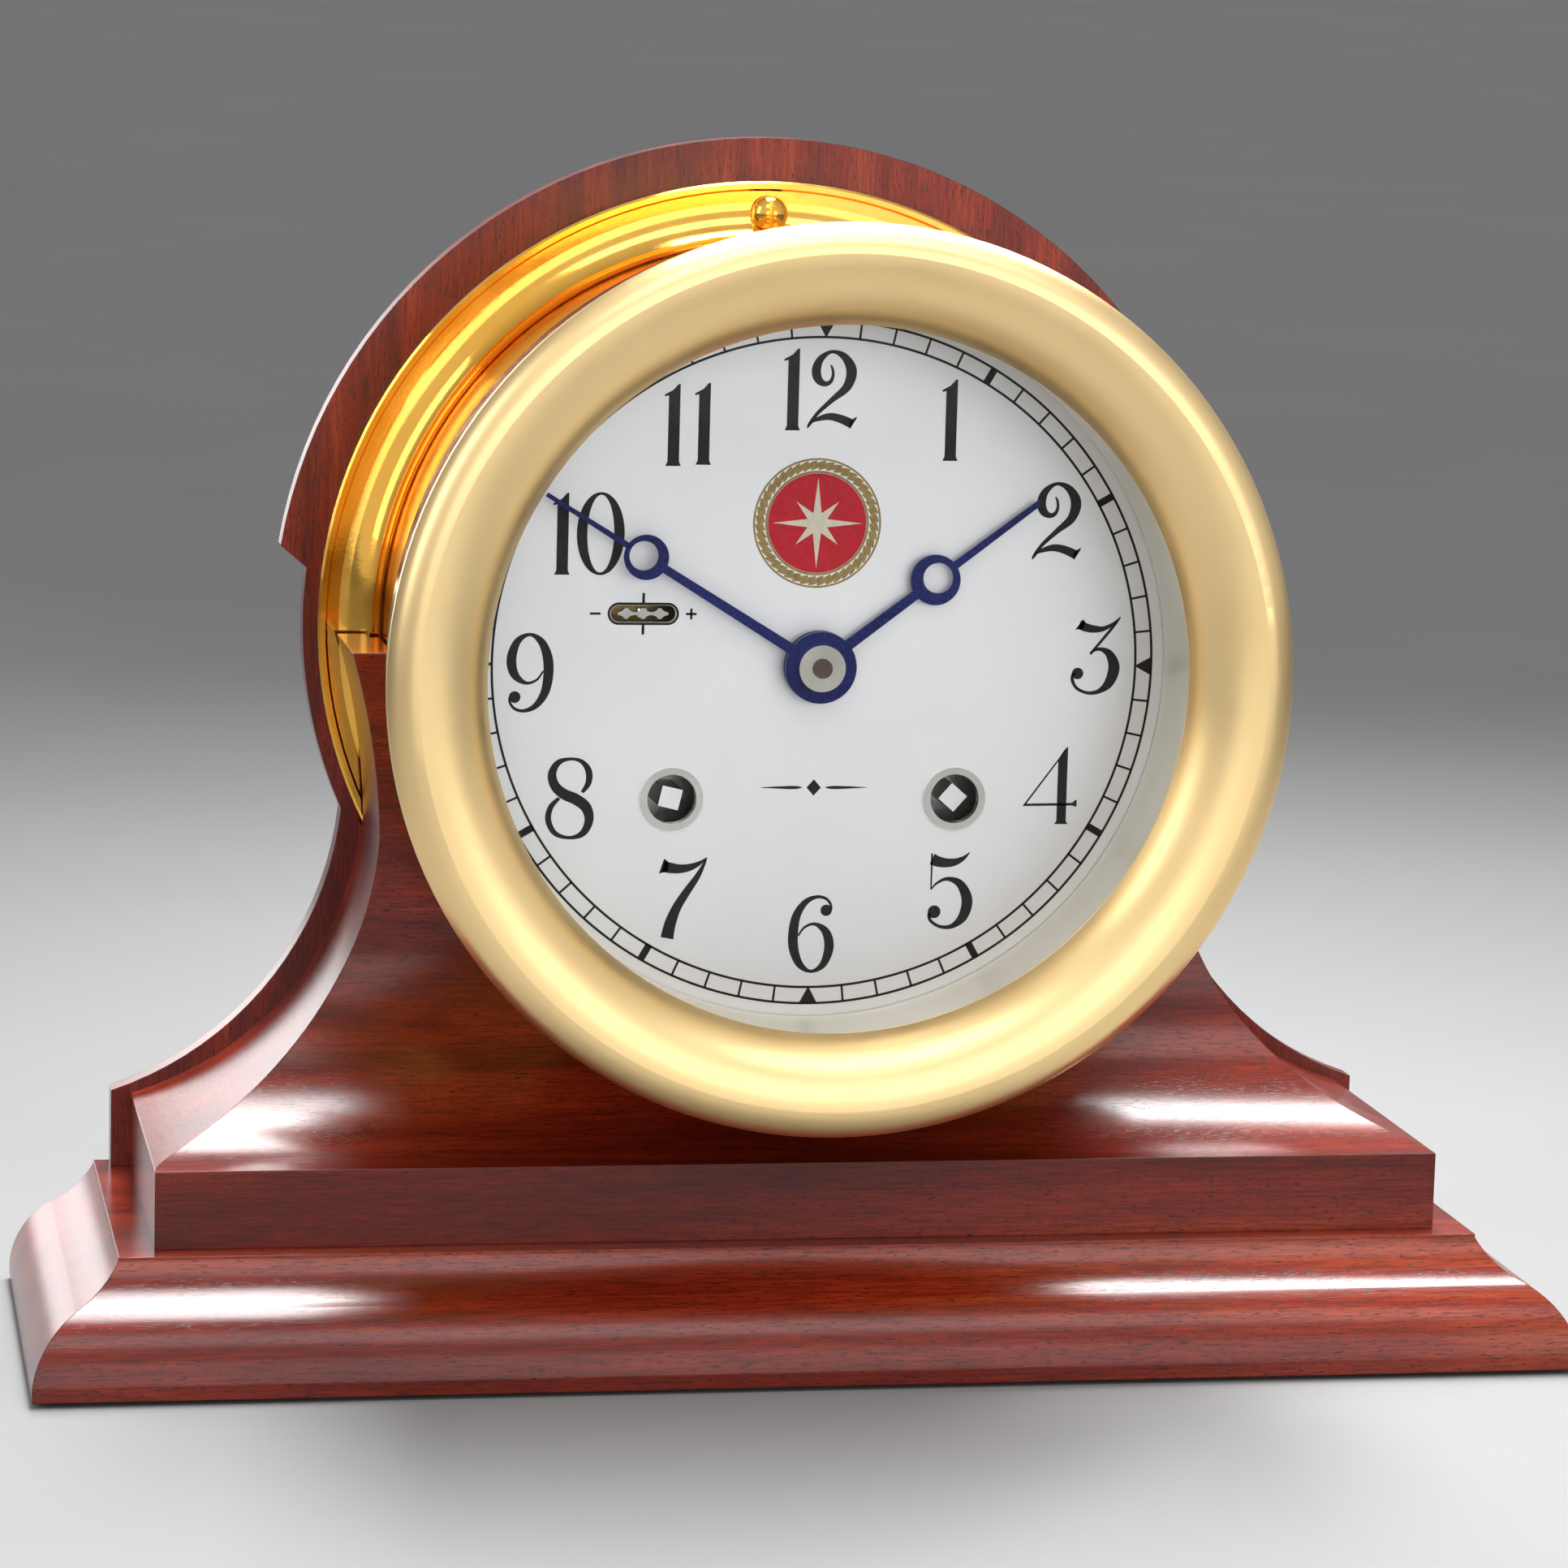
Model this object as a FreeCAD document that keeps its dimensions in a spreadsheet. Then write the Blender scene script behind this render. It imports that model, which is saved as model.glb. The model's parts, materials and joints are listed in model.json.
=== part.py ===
import FreeCAD, Part
import Sketcher
import math
import os
from FreeCAD import Placement, Rotation, Vector

# Striking ship's clock in a turned brass case, cradled in a wooden mantel stand.
# Frame: +Z up, front towards -Y, origin under the middle of the whole object on the resting plane.
# Inside the script a place is given as a depth, measured forward (-Y) from the flat back of the
# stand, and for the clock itself by X and Z from the clock's own horizontal axis.

SIZES = {
    # overall references
    "rear_y": 56.5,
    "axis_height": 144.9,
    # felt and plinth
    "felt_thickness": 1.0,
    "felt_inset": 4.0,
    "plinth_top": 26.0,
    "plinth_half_width": 142.2,
    "plinth_depth": 89.8,
    "plinth_lip": 0.7,
    "moulding_run": 17.9,
    "moulding_middle_run": 9.0,
    "moulding_middle_height": 17.2,
    "moulding_foot_height": 3.0,
    "cove_radius": 18.0,
    "ovolo_radius": 17.3,
    # back panel
    "panel_thickness": 6.3,
    "panel_half_width": 138.8,
    "panel_side_top": 42.7,
    "panel_top_radius": 105.0,
    "panel_low_radius": 98.8,
    "panel_notch_out": 103.7,
    "panel_notch_high": 16.2,
    "panel_notch_in": 98.1,
    "panel_notch_low": 11.5,
    "panel_cusp_out": 90.0,
    "panel_cusp_drop": 40.8,
    "panel_sweep_radius": 71.8,
    # cradle block
    "cradle_half_width": 134.6,
    "cradle_depth": 84.0,
    "cradle_face_depth": 44.0,
    "cradle_step_top": 42.2,
    "cradle_arm_out": 91.9,
    "cradle_arm_drop": 2.1,
    "cradle_neck_out": 85.7,
    "cradle_neck_drop": 41.0,
    "cradle_neck_radius": 150.0,
    "cradle_sweep_radius": 67.8,
    "cradle_cove_radius": 40.0,
    "saddle_radius": 83.5,
    "flange_recess_radius": 96.4,
    "flange_recess_depth": 11.2,
    "cove_recess_radius": 85.8,
    "cove_recess_depth": 17.4,
    "head_relief": 0.5,
    # wood screws under the plinth
    "wood_screw_radius": 2.0,
    "wood_screw_head_radius": 4.0,
    "wood_screw_head_height": 2.4,
    "wood_screw_length": 34.0,
    "wood_screw_spread": 92.0,
    "wood_screw_front_depth": 62.0,
    "wood_screw_back_depth": 26.0,
    "wood_hole_clearance": 0.1,
    # clock case
    "flange_radius": 95.8,
    "flange_face": 8.3,
    "flange_lip_front": 9.1,
    "flange_lip_inner": 94.2,
    "flange_edge_round": 0.5,
    "case_cove_start": 91.3,
    "case_cove_front": 16.6,
    "case_cove_radius": 8.35,
    "case_waist_radius": 83.0,
    "case_waist_front": 58.0,
    "case_flare_radius": 50.0,
    "case_ring_radius": 89.5,
    "case_ring_back": 84.0,
    "case_front": 99.3,
    "case_ring_bore": 79.0,
    "case_bore": 78.4,
    "case_floor": 8.8,
    "flange_screw_circle": 88.8,
    "flange_screw_radius": 1.6,
    "flange_screw_head_radius": 3.9,
    "flange_screw_head_height": 3.4,
    "flange_screw_seat": 9.2,
    "flange_screw_rim": 0.8,
    "flange_screw_dome": 4.225,
    "flange_screw_length": 6.5,
    "flange_screw_slot": 0.9,
    "flange_screw_slot_depth": 1.3,
    "screw_hole_clearance": 0.1,
    # bezel, glass and hinge
    "bezel_back": 99.6,
    "bezel_radius": 92.0,
    "bezel_skirt_radius": 90.4,
    "bezel_bead_back": 105.8,
    "bezel_bead_front": 108.6,
    "bezel_crest_radius": 86.0,
    "bezel_front": 113.0,
    # both rounds meet the front plane flat, so the ring has one smooth crest
    "bezel_outer_round": 6.291,
    "bezel_inner_round": 16.346,
    "bezel_opening": 71.5,
    "bezel_lip_front": 104.2,
    "bezel_lip_back": 103.3,
    "glass_seat_radius": 76.4,
    "glass_radius": 76.2,
    "glass_back": 101.2,
    "glass_front": 103.2,
    "retainer_inner": 73.4,
    "retainer_back": 99.9,
    "retainer_front": 101.1,
    "hinge_x": 91.5,
    "hinge_depth": 99.45,
    "knuckle_radius": 1.9,
    "knuckle_notch_radius": 2.15,
    "knuckle_half_length": 8.0,
    "knuckle_middle_half": 2.8,
    "knuckle_gap": 0.25,
    "hinge_pin_radius": 0.8,
    "hinge_pin_bore": 0.85,
    "hinge_leaf_thickness": 1.0,
    "case_leaf_x": 89.65,
    "case_leaf_length": 8.0,
    "bezel_leaf_x": 90.75,
    "bezel_leaf_length": 5.6,
    "catch_x": 84.2,
    "catch_radius": 1.2,
    "catch_hole_radius": 1.7,
    "catch_reach": 4.6,
    # dial and what shows through it
    "dial_front": 76.8,
    "dial_thickness": 1.2,
    "dial_radius": 77.6,
    "reflector_inner": 73.2,
    "reflector_outer": 77.4,
    "reflector_back": 77.1,
    "reflector_front": 98.2,
    "reflector_wall": 0.8,
    "winding_x": 29.6,
    "winding_drop": 27.7,
    "winding_hole_radius": 5.1,
    "grommet_neck_radius": 5.6,
    "grommet_flange_radius": 6.5,
    "grommet_back": 75.2,
    "grommet_front": 77.5,
    "dial_hole_gap": 0.05,
    "dial_centre_hole": 4.0,
    "slot_x": 36.3,
    "slot_rise": 10.4,
    "slot_half_length": 6.8,
    "slot_half_width": 1.75,
    "index_half_length": 5.2,
    "index_half_height": 1.1,
    "index_front": 76.5,
    "index_carrier_back": 73.4,
    "index_carrier_front": 75.4,
    "index_carrier_half": 0.9,
    "index_scallop_radius": 1.7,
    "index_scallop_rise": 2.0,
    "dial_foot_circle": 66.0,
    "dial_foot_radius": 1.6,
    # hands
    "hour_hand_back": 78.6,
    "minute_hand_back": 80.6,
    "hand_thickness": 0.8,
    "hour_hand_angle": 53.0,
    "minute_hand_angle": -58.5,
    "hand_boss_radius": 7.4,
    "hour_hand_length": 56.5,
    "hour_ring_distance": 29.8,
    "hour_ring_outer": 5.2,
    "hour_ring_inner": 3.15,
    "minute_hand_length": 67.0,
    "minute_ring_distance": 42.9,
    "minute_ring_outer": 4.6,
    "minute_ring_inner": 3.0,
    "ring_offset": 0.65,
    "hour_root_half": 1.2,
    "hour_neck_half": 0.95,
    "hour_stem_half": 0.8,
    "hour_tip_half": 0.6,
    "minute_root_half": 1.15,
    "minute_neck_half": 0.85,
    "minute_stem_half": 0.62,
    "minute_tip_half": 0.45,
    "collet_radius": 4.8,
    "collet_front": 82.9,
    "hand_screw_radius": 2.0,
    "hand_screw_front": 82.6,
    "hand_screw_slot": 0.6,
    # movement frame
    "plate_radius": 72.0,
    "plate_thickness": 2.5,
    "back_plate_depth": 30.0,
    "front_plate_depth": 56.0,
    "pillar_circle": 64.0,
    "pillar_radius": 3.0,
    "pillar_screw_radius": 3.6,
    "pillar_screw_height": 1.6,
    "post_circle": 67.5,
    "post_radius": 3.5,
    "bell_radius": 56.0,
    "bell_back": 12.5,
    "bell_rim_front": 26.0,
    "bell_wall": 1.6,
    "bell_shoulder_radius": 8.0,
    "bell_post_radius": 4.0,
    "bell_stud_radius": 2.5,
    "bell_nut_radius": 6.0,
    "bell_nut_height": 3.0,
    "bell_hole_radius": 2.55,
    "pivot_clearance": 0.05,
    # trains
    "great_module": 1.0125,
    "centre_module": 0.5,
    "third_module": 0.4,
    "fourth_module": 0.3,
    "barrel_radius": 23.5,
    "barrel_wall": 1.4,
    "barrel_front": 50.0,
    "barrel_arbor_radius": 3.0,
    "spring_inner": 5.0,
    "spring_outer": 20.6,
    "spring_strip": 0.7,
    "wheel_thickness": 1.2,
    "great_thickness": 2.0,
    "pinion_length": 2.4,
    "time_great_back": 34.0,
    "strike_great_back": 38.0,
    "centre_wheel_back": 52.2,
    "third_wheel_back": 46.0,
    "fourth_wheel_back": 41.0,
    "escape_wheel_back": 48.5,
    "strike_wheel_back": 45.0,
    "train_arbor_radius": 1.0,
    "centre_arbor_radius": 1.5,
    "winding_square": 4.3,
    "winding_square_back": 61.4,
    "winding_square_front": 75.6,
    "ratchet_radius": 9.0,
    "ratchet_tooth": 1.3,
    "ratchet_back": 59.2,
    "ratchet_thickness": 1.5,
    "click_length": 9.5,
    "click_width": 2.6,
    "click_pivot_radius": 1.2,
    "cannon_bore": 1.55,
    "cannon_radius": 2.2,
    "cannon_back": 60.4,
    "hour_pipe_bore": 2.27,
    "hour_pipe_radius": 3.1,
    "hour_pipe_front": 79.4,
    "motion_distance": 14.0,
    "minute_wheel_back": 61.2,
    "hour_wheel_back": 64.4,
    "minute_pinion_front": 66.6,
    "balance_radius": 9.0,
    "balance_rim": 1.4,
    "balance_back": 43.0,
    "balance_thickness": 1.8,
    "hairspring_inner": 1.6,
    "hairspring_outer": 5.5,
    "hairspring_strip": 0.18,
    "hairspring_back": 39.0,
    "hairspring_width": 0.8,
    "roller_radius": 1.9,
    "escape_radius": 8.0,
    "hammer_back": 22.0,
    "hammer_thickness": 2.4,
    "hammer_head_radius": 4.6,
    "hammer_length": 36.9,
    "hammer_pivot_radius": 2.0,
}

# Where the arbors stand, as X and Z from the clock axis.
PLACES = {
    "centre": (0.0, 0.0),
    "time": (-29.6, -27.7),
    "strike": (29.6, -27.7),
    "third": (-16.0, 15.81),
    "fourth": (-8.0, 30.81),
    "escape": (4.0, 36.31),
    "pallet": (13.5, 41.82),
    "balance": (27.0, 47.0),
    "strike_second": (44.2, 10.07),
    "fly": (39.2, 25.27),
    "minute_wheel": (0.0, 14.0),
    "hammer": (20.0, 62.0),
    "time_click": (-43.4, -22.7),
    "strike_click": (43.4, -22.7),
}
PILLAR_ANGLES = (-90.0, 5.0, 100.0, 175.0)
POST_ANGLES = (20.0, 140.0, 260.0)
FLANGE_SCREW_ANGLES = (90.0, 210.0, 330.0)
LOWER_SCREW_ANGLES = FLANGE_SCREW_ANGLES[1:]
DIAL_FOOT_ANGLES = (40.0, 140.0, 250.0)
TIME_SQUARE_ANGLE = 13.0
STRIKE_SQUARE_ANGLE = 41.0

doc = FreeCAD.newDocument("ShipsDeckClock")
sheet = doc.addObject("Spreadsheet::Sheet", "Sizes")
for row, (alias, value) in enumerate(SIZES.items(), start=1):
    sheet.set("A%d" % row, alias)
    sheet.set("B%d" % row, str(value))
    sheet.setAlias("B%d" % row, alias)
doc.recompute()

pieces = []


# ---------------------------------------------------------------- formulas
# A formula is text such as "flange_face + 2*hand_thickness - 0.3".

def is_number(text):
    return text.replace(".", "", 1).isdigit()


def size(formula):
    """Value of a formula, read from the sheet."""
    total = 0.0
    sign = 1.0
    for token in formula.split():
        if token in "+-":
            sign = 1.0 if token == "+" else -1.0
            continue
        product = sign
        for factor in token.split("*"):
            product *= float(factor) if is_number(factor) else float(sheet.get(factor))
        total += product
    return total


def bound(formula):
    """The same formula as an expression on the sheet."""
    tokens = []
    for token in formula.split():
        if token in "+-":
            tokens.append(token)
            continue
        factors = [f if is_number(f) else "Sizes." + f for f in token.split("*")]
        tokens.append(" * ".join(factors))
    return " ".join(tokens)


def negated(formula):
    flipped = {"+": "-", "-": "+"}
    tokens = formula.split()
    if tokens[0] not in flipped:
        tokens.insert(0, "+")
    return " ".join(flipped.get(token, token) for token in tokens)


# ---------------------------------------------------------------- sketches

def pin_point(sketch, geometry, end, axis, formula):
    """Hold one coordinate of a sketch point at a formula's value, measured from the sketch origin."""
    value = size(formula)
    if abs(value) < 1e-9:
        axis_line = -2 if axis == "DistanceX" else -1
        sketch.addConstraint(Sketcher.Constraint("PointOnObject", geometry, end, axis_line))
        return
    if value > 0:
        constraint = Sketcher.Constraint(axis, -1, 1, geometry, end, value)
    else:
        constraint = Sketcher.Constraint(axis, geometry, end, -1, 1, -value)
        formula = negated(formula)
    number = sketch.addConstraint(constraint)
    sketch.setExpression("Constraints[%d]" % number, bound(formula))


def arc_between(start, finish, radius, side):
    """Minor arc that bulges left (side 1) or right (side -1) of the way from start to finish."""
    middle = (start + finish) * 0.5
    along = finish - start
    half = along.Length / 2.0
    normal = Vector(-along.y, along.x, 0).normalize()
    centre = middle - normal * side * math.sqrt(radius * radius - half * half)
    first, last = (finish, start) if side > 0 else (start, finish)
    begin = math.atan2(first.y - centre.y, first.x - centre.x)
    end = math.atan2(last.y - centre.y, last.x - centre.x)
    if end < begin:
        end += 2.0 * math.pi
    return Part.ArcOfCircle(Part.Circle(centre, Vector(0, 0, 1), radius), begin, end)


def draw_outline(sketch, path):
    """Closed outline of corners (u, v) and, between two corners, arcs ("arc", radius, side)."""
    corners = [item for item in path if item[0] != "arc"]
    arcs = {}
    for place, item in enumerate(path):
        if item[0] == "arc":
            arcs[len([other for other in path[:place] if other[0] != "arc"]) - 1] = item
    points = [Vector(size(u), size(v), 0) for u, v in corners]
    starts = []
    ends = []
    for index, start in enumerate(points):
        finish = points[(index + 1) % len(points)]
        if index in arcs:
            _, radius, side = arcs[index]
            geometry = sketch.addGeometry(arc_between(start, finish, size(radius), side), False)
            starts.append((geometry, 2 if side > 0 else 1))
            ends.append((geometry, 1 if side > 0 else 2))
        else:
            geometry = sketch.addGeometry(Part.LineSegment(start, finish), False)
            starts.append((geometry, 1))
            ends.append((geometry, 2))
    for index in range(len(points)):
        following = (index + 1) % len(points)
        sketch.addConstraint(Sketcher.Constraint("Coincident", *ends[index], *starts[following]))
    for index, (u, v) in enumerate(corners):
        pin_point(sketch, *starts[index], "DistanceX", u)
        pin_point(sketch, *starts[index], "DistanceY", v)
    for index, (_, radius, side) in arcs.items():
        number = sketch.addConstraint(Sketcher.Constraint("Radius", starts[index][0], size(radius)))
        sketch.setExpression("Constraints[%d]" % number, bound(radius))


def draw_circles(sketch, circles):
    for u, v, radius in circles:
        centre = Vector(size(u), size(v), 0)
        geometry = sketch.addGeometry(Part.Circle(centre, Vector(0, 0, 1), size(radius)), False)
        pin_point(sketch, geometry, 3, "DistanceX", u)
        pin_point(sketch, geometry, 3, "DistanceY", v)
        number = sketch.addConstraint(Sketcher.Constraint("Radius", geometry, size(radius)))
        sketch.setExpression("Constraints[%d]" % number, bound(radius))


def mirrored(half):
    """Right half of an outline, then the same corners mirrored back along the left side."""
    returned = []
    for item in reversed(half):
        if item[0] == "arc":
            returned.append(item)
        else:
            returned.append((negated(item[0]), item[1]))
    if abs(size(half[-1][0])) < 1e-9:
        returned = returned[1:]
    return half + returned


# ---------------------------------------------------------------- bodies

def new_body(label):
    body = doc.addObject("PartDesign::Body", label)
    body.Label = label
    return body


def sketch_on(body, role, offset="0"):
    plane = next(item for item in body.Origin.OriginFeatures if item.Role == role)
    sketch = body.newObject("Sketcher::SketchObject", body.Name + "_sketch")
    sketch.AttachmentSupport = (plane, [""])
    sketch.MapMode = "FlatFace"
    if size(offset) != 0.0:
        sketch.setExpression("AttachmentOffset.Base.z", bound(offset))
    return sketch


def pad(body, offset, thickness, path=None, circles=None):
    """Solid from a front-view outline; the pad grows forward from the offset depth."""
    sketch = sketch_on(body, "XZ_Plane", offset)
    if path:
        draw_outline(sketch, path)
    draw_circles(sketch, circles or [])
    feature = body.newObject("PartDesign::Pad", body.Name + "_pad")
    feature.Profile = sketch
    feature.setExpression("Length", bound(thickness))
    doc.recompute()
    return feature


def pocket(body, role, path=None, circles=None, offset="0", depth=None):
    """Cut an outline out of the body: through both ways, or forward from the offset depth."""
    before = body.Shape.Volume
    sketch = sketch_on(body, role, offset)
    if path:
        draw_outline(sketch, path)
    draw_circles(sketch, circles or [])
    feature = body.newObject("PartDesign::Pocket", body.Name + "_pocket")
    feature.Profile = sketch
    if depth is None:
        feature.Type = "ThroughAll"
        feature.Midplane = True
    else:
        feature.setExpression("Length", bound(depth))
        feature.Reversed = True
    doc.recompute()
    if body.Shape.Volume > before - 1e-3:
        raise RuntimeError("pocket in %s cuts nothing" % body.Label)
    return feature


def revolve(body, path):
    """Turned solid about the body's Y axis from an outline of (minus depth, radius)."""
    sketch = sketch_on(body, "YZ_Plane")
    draw_outline(sketch, [item if item[0] == "arc" else (negated(item[0]), item[1]) for item in path])
    feature = body.newObject("PartDesign::Revolution", body.Name + "_turned")
    feature.Profile = sketch
    feature.ReferenceAxis = (sketch, ["H_Axis"])
    feature.Angle = 360.0
    doc.recompute()
    return feature


def finish(piece, x="0", z="axis_height", angle=0.0):
    """Put a piece that was built about its own axis in its place, and list it for export."""
    piece.Placement = Placement(Vector(0, 0, 0), Rotation(Vector(0, 1, 0), angle))
    piece.setExpression("Placement.Base.x", bound(x))
    piece.setExpression("Placement.Base.y", "Sizes.rear_y")
    piece.setExpression("Placement.Base.z", bound(z))
    pieces.append(piece)
    return piece


def turned(label, path, x="0", z="axis_height"):
    body = new_body(label)
    revolve(body, path)
    return finish(body, x, z)


# ---------------------------------------------------------------- primitives
# Primitives stand in the clock's own frame: origin on the axis at the back of the stand.

def rod(radius, back, front, x="0", z="0"):
    """Round bar along the depth."""
    bar = doc.addObject("Part::Cylinder", "Rod")
    bar.setExpression("Radius", bound(radius))
    bar.setExpression("Height", "(%s) - (%s)" % (bound(front), bound(back)))
    bar.Placement = Placement(Vector(0, 0, 0), Rotation(Vector(1, 0, 0), 90))
    bar.setExpression("Placement.Base.x", bound(x))
    bar.setExpression("Placement.Base.y", "-(%s)" % bound(back))
    bar.setExpression("Placement.Base.z", bound(z))
    return bar


def upright(radius, low, high, x, depth):
    """Round bar along Z."""
    bar = doc.addObject("Part::Cylinder", "Upright")
    bar.setExpression("Radius", bound(radius))
    bar.setExpression("Height", "(%s) - (%s)" % (bound(high), bound(low)))
    bar.setExpression("Placement.Base.x", bound(x))
    bar.setExpression("Placement.Base.y", "-(%s)" % bound(depth))
    bar.setExpression("Placement.Base.z", bound(low))
    return bar


def block(left, right, back, front, low, high):
    box = doc.addObject("Part::Box", "Block")
    box.setExpression("Length", "(%s) - (%s)" % (bound(right), bound(left)))
    box.setExpression("Width", "(%s) - (%s)" % (bound(front), bound(back)))
    box.setExpression("Height", "(%s) - (%s)" % (bound(high), bound(low)))
    box.setExpression("Placement.Base.x", bound(left))
    box.setExpression("Placement.Base.y", "-(%s)" % bound(front))
    box.setExpression("Placement.Base.z", bound(low))
    return box


def joined(label, items):
    result = doc.addObject("Part::MultiFuse", label)
    result.Label = label
    result.Shapes = items
    return result


def grouped(label, items):
    """Separate solids of one kind in one piece."""
    result = doc.addObject("Part::Compound", label)
    result.Label = label
    result.Links = items
    return result


def cut(label, base, tools):
    tool = tools[0] if len(tools) == 1 else joined(label + "_tools", tools)
    result = doc.addObject("Part::Cut", label)
    result.Label = label
    result.Base = base
    result.Tool = tool
    return result


def on_circle(circle, angle):
    """X and Z formulas of a point on a circle about the clock axis."""
    across = math.cos(math.radians(angle))
    up = math.sin(math.radians(angle))
    return ["%s %.9f*%s" % ("-" if part < 0 else "+", abs(part), circle) for part in (across, up)]


def number(value):
    """A plain number as a formula."""
    return "%s %.6f" % ("-" if value < 0 else "+", abs(value))


def place(name):
    x, z = PLACES[name]
    return number(x), number(z)


# ---------------------------------------------------------------- gears and springs

def gear_shape(teeth, module, thickness, back, first_tooth, bore, windows=0):
    """Spur gear along the depth, with a tooth at the first_tooth angle (from +X towards +Z)."""
    pitch_radius = teeth * module / 2.0
    tip_radius = pitch_radius + 0.62 * module
    root_radius = pitch_radius - 0.95 * module
    step = 2.0 * math.pi / teeth
    tip_half = 0.10 * step
    root_half = 0.27 * step if teeth > 20 else 0.20 * step
    points = []
    for tooth in range(teeth):
        middle = math.radians(first_tooth) + tooth * step
        for radius, offset in ((root_radius, -root_half), (tip_radius, -tip_half),
                               (tip_radius, tip_half), (root_radius, root_half)):
            angle = middle + offset
            points.append(Vector(radius * math.cos(angle), -back, radius * math.sin(angle)))
    points.append(points[0])
    forward = Vector(0, -thickness, 0)
    blank = Part.Face(Part.makePolygon(points)).extrude(forward)
    holes = []
    if bore > 0:
        holes.append(Part.makeCylinder(bore, thickness, Vector(0, -back, 0), Vector(0, -1, 0)))
    window_radius = 0.27 * root_radius
    for window in range(windows):
        angle = 2.0 * math.pi * window / windows
        centre = Vector(0.58 * root_radius * math.cos(angle), -back, 0.58 * root_radius * math.sin(angle))
        holes.append(Part.makeCylinder(window_radius, thickness, centre, Vector(0, -1, 0)))
    return blank.cut(holes) if holes else blank


def spiral_shape(inner, outer, turns, strip, back, width):
    """Flat coiled strip; both faces of the strip are smooth curves."""
    per_turn = 16
    count = int(turns * per_turn)
    sides = []
    for shift in (-strip / 2.0, strip / 2.0):
        points = []
        for step in range(count + 1):
            angle = 2.0 * math.pi * step / per_turn
            radius = inner + (outer - inner) * step / count + shift
            points.append(Vector(radius * math.cos(angle), -back, radius * math.sin(angle)))
        curve = Part.BSplineCurve()
        curve.interpolate(points)
        sides.append(curve.toShape())
    caps = [Part.makeLine(sides[0].Vertexes[end].Point, sides[1].Vertexes[end].Point) for end in (0, -1)]
    outline = Part.Wire(Part.__sortEdges__([sides[0], caps[1], sides[1], caps[0]]))
    return Part.Face(outline).extrude(Vector(0, -width, 0))


def bar_shape(radius, back, front):
    return Part.makeCylinder(radius, front - back, Vector(0, -back, 0), Vector(0, -1, 0))


def direction(start, finish):
    """Angle from one arbor to another, from +X towards +Z, in degrees."""
    (x0, z0), (x1, z1) = PLACES[start], PLACES[finish]
    return math.degrees(math.atan2(z1 - z0, x1 - x0))


def shaped(label, shape, where):
    """A piece whose Shape is made here, standing on a named arbor."""
    piece = doc.addObject("Part::Feature", label)
    piece.Label = label
    piece.Shape = shape
    x, z = place(where)
    return finish(piece, x, "axis_height " + z)


# ---------------------------------------------------------------- wooden stand

def moulding(out, top, foot):
    """Ogee edge of the plinth from its foot up to its top lip, as distances out and heights."""
    return [
        (out + " + moulding_run", foot),
        (out + " + moulding_run", foot + " + moulding_foot_height"),
        ("arc", "ovolo_radius", -1),
        (out + " + moulding_middle_run", foot + " + moulding_middle_height - felt_thickness"),
        ("arc", "cove_radius", 1),
        (out, top + " - plinth_lip"),
        (out, top),
    ]


def make_plinth():
    body = new_body("plinth")
    pad(body, "0", "plinth_depth + moulding_run",
        mirrored(moulding("plinth_half_width", "plinth_top", "felt_thickness")))
    edge = moulding("plinth_depth", "plinth_top", "felt_thickness")
    flipped = [item if item[0] == "arc" else (negated(item[0]), item[1]) for item in edge]
    away = "- plinth_depth - 2*moulding_run"
    outside = flipped + [
        ("- plinth_depth", "2*plinth_top"),
        (away, "2*plinth_top"),
        (away, "felt_thickness"),
    ]
    turned_arcs = [("arc", item[1], -item[2]) if item[0] == "arc" else item for item in outside]
    pocket(body, "YZ_Plane", turned_arcs)
    body.Placement = Placement()
    body.setExpression("Placement.Base.y", "Sizes.rear_y")
    return body


def make_back_panel():
    body = new_body("back_panel")
    half = [
        ("panel_half_width", "plinth_top"),
        ("panel_half_width", "panel_side_top"),
        ("arc", "panel_sweep_radius", 1),
        ("panel_cusp_out", "axis_height - panel_cusp_drop"),
        ("arc", "panel_low_radius", -1),
        ("panel_notch_in", "axis_height + panel_notch_low"),
        ("panel_notch_out", "axis_height + panel_notch_high"),
        ("arc", "panel_top_radius", -1),
        ("0", "axis_height + panel_top_radius"),
    ]
    pad(body, "0", "panel_thickness", mirrored(half))
    body.Placement = Placement()
    body.setExpression("Placement.Base.y", "Sizes.rear_y")
    return body


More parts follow.
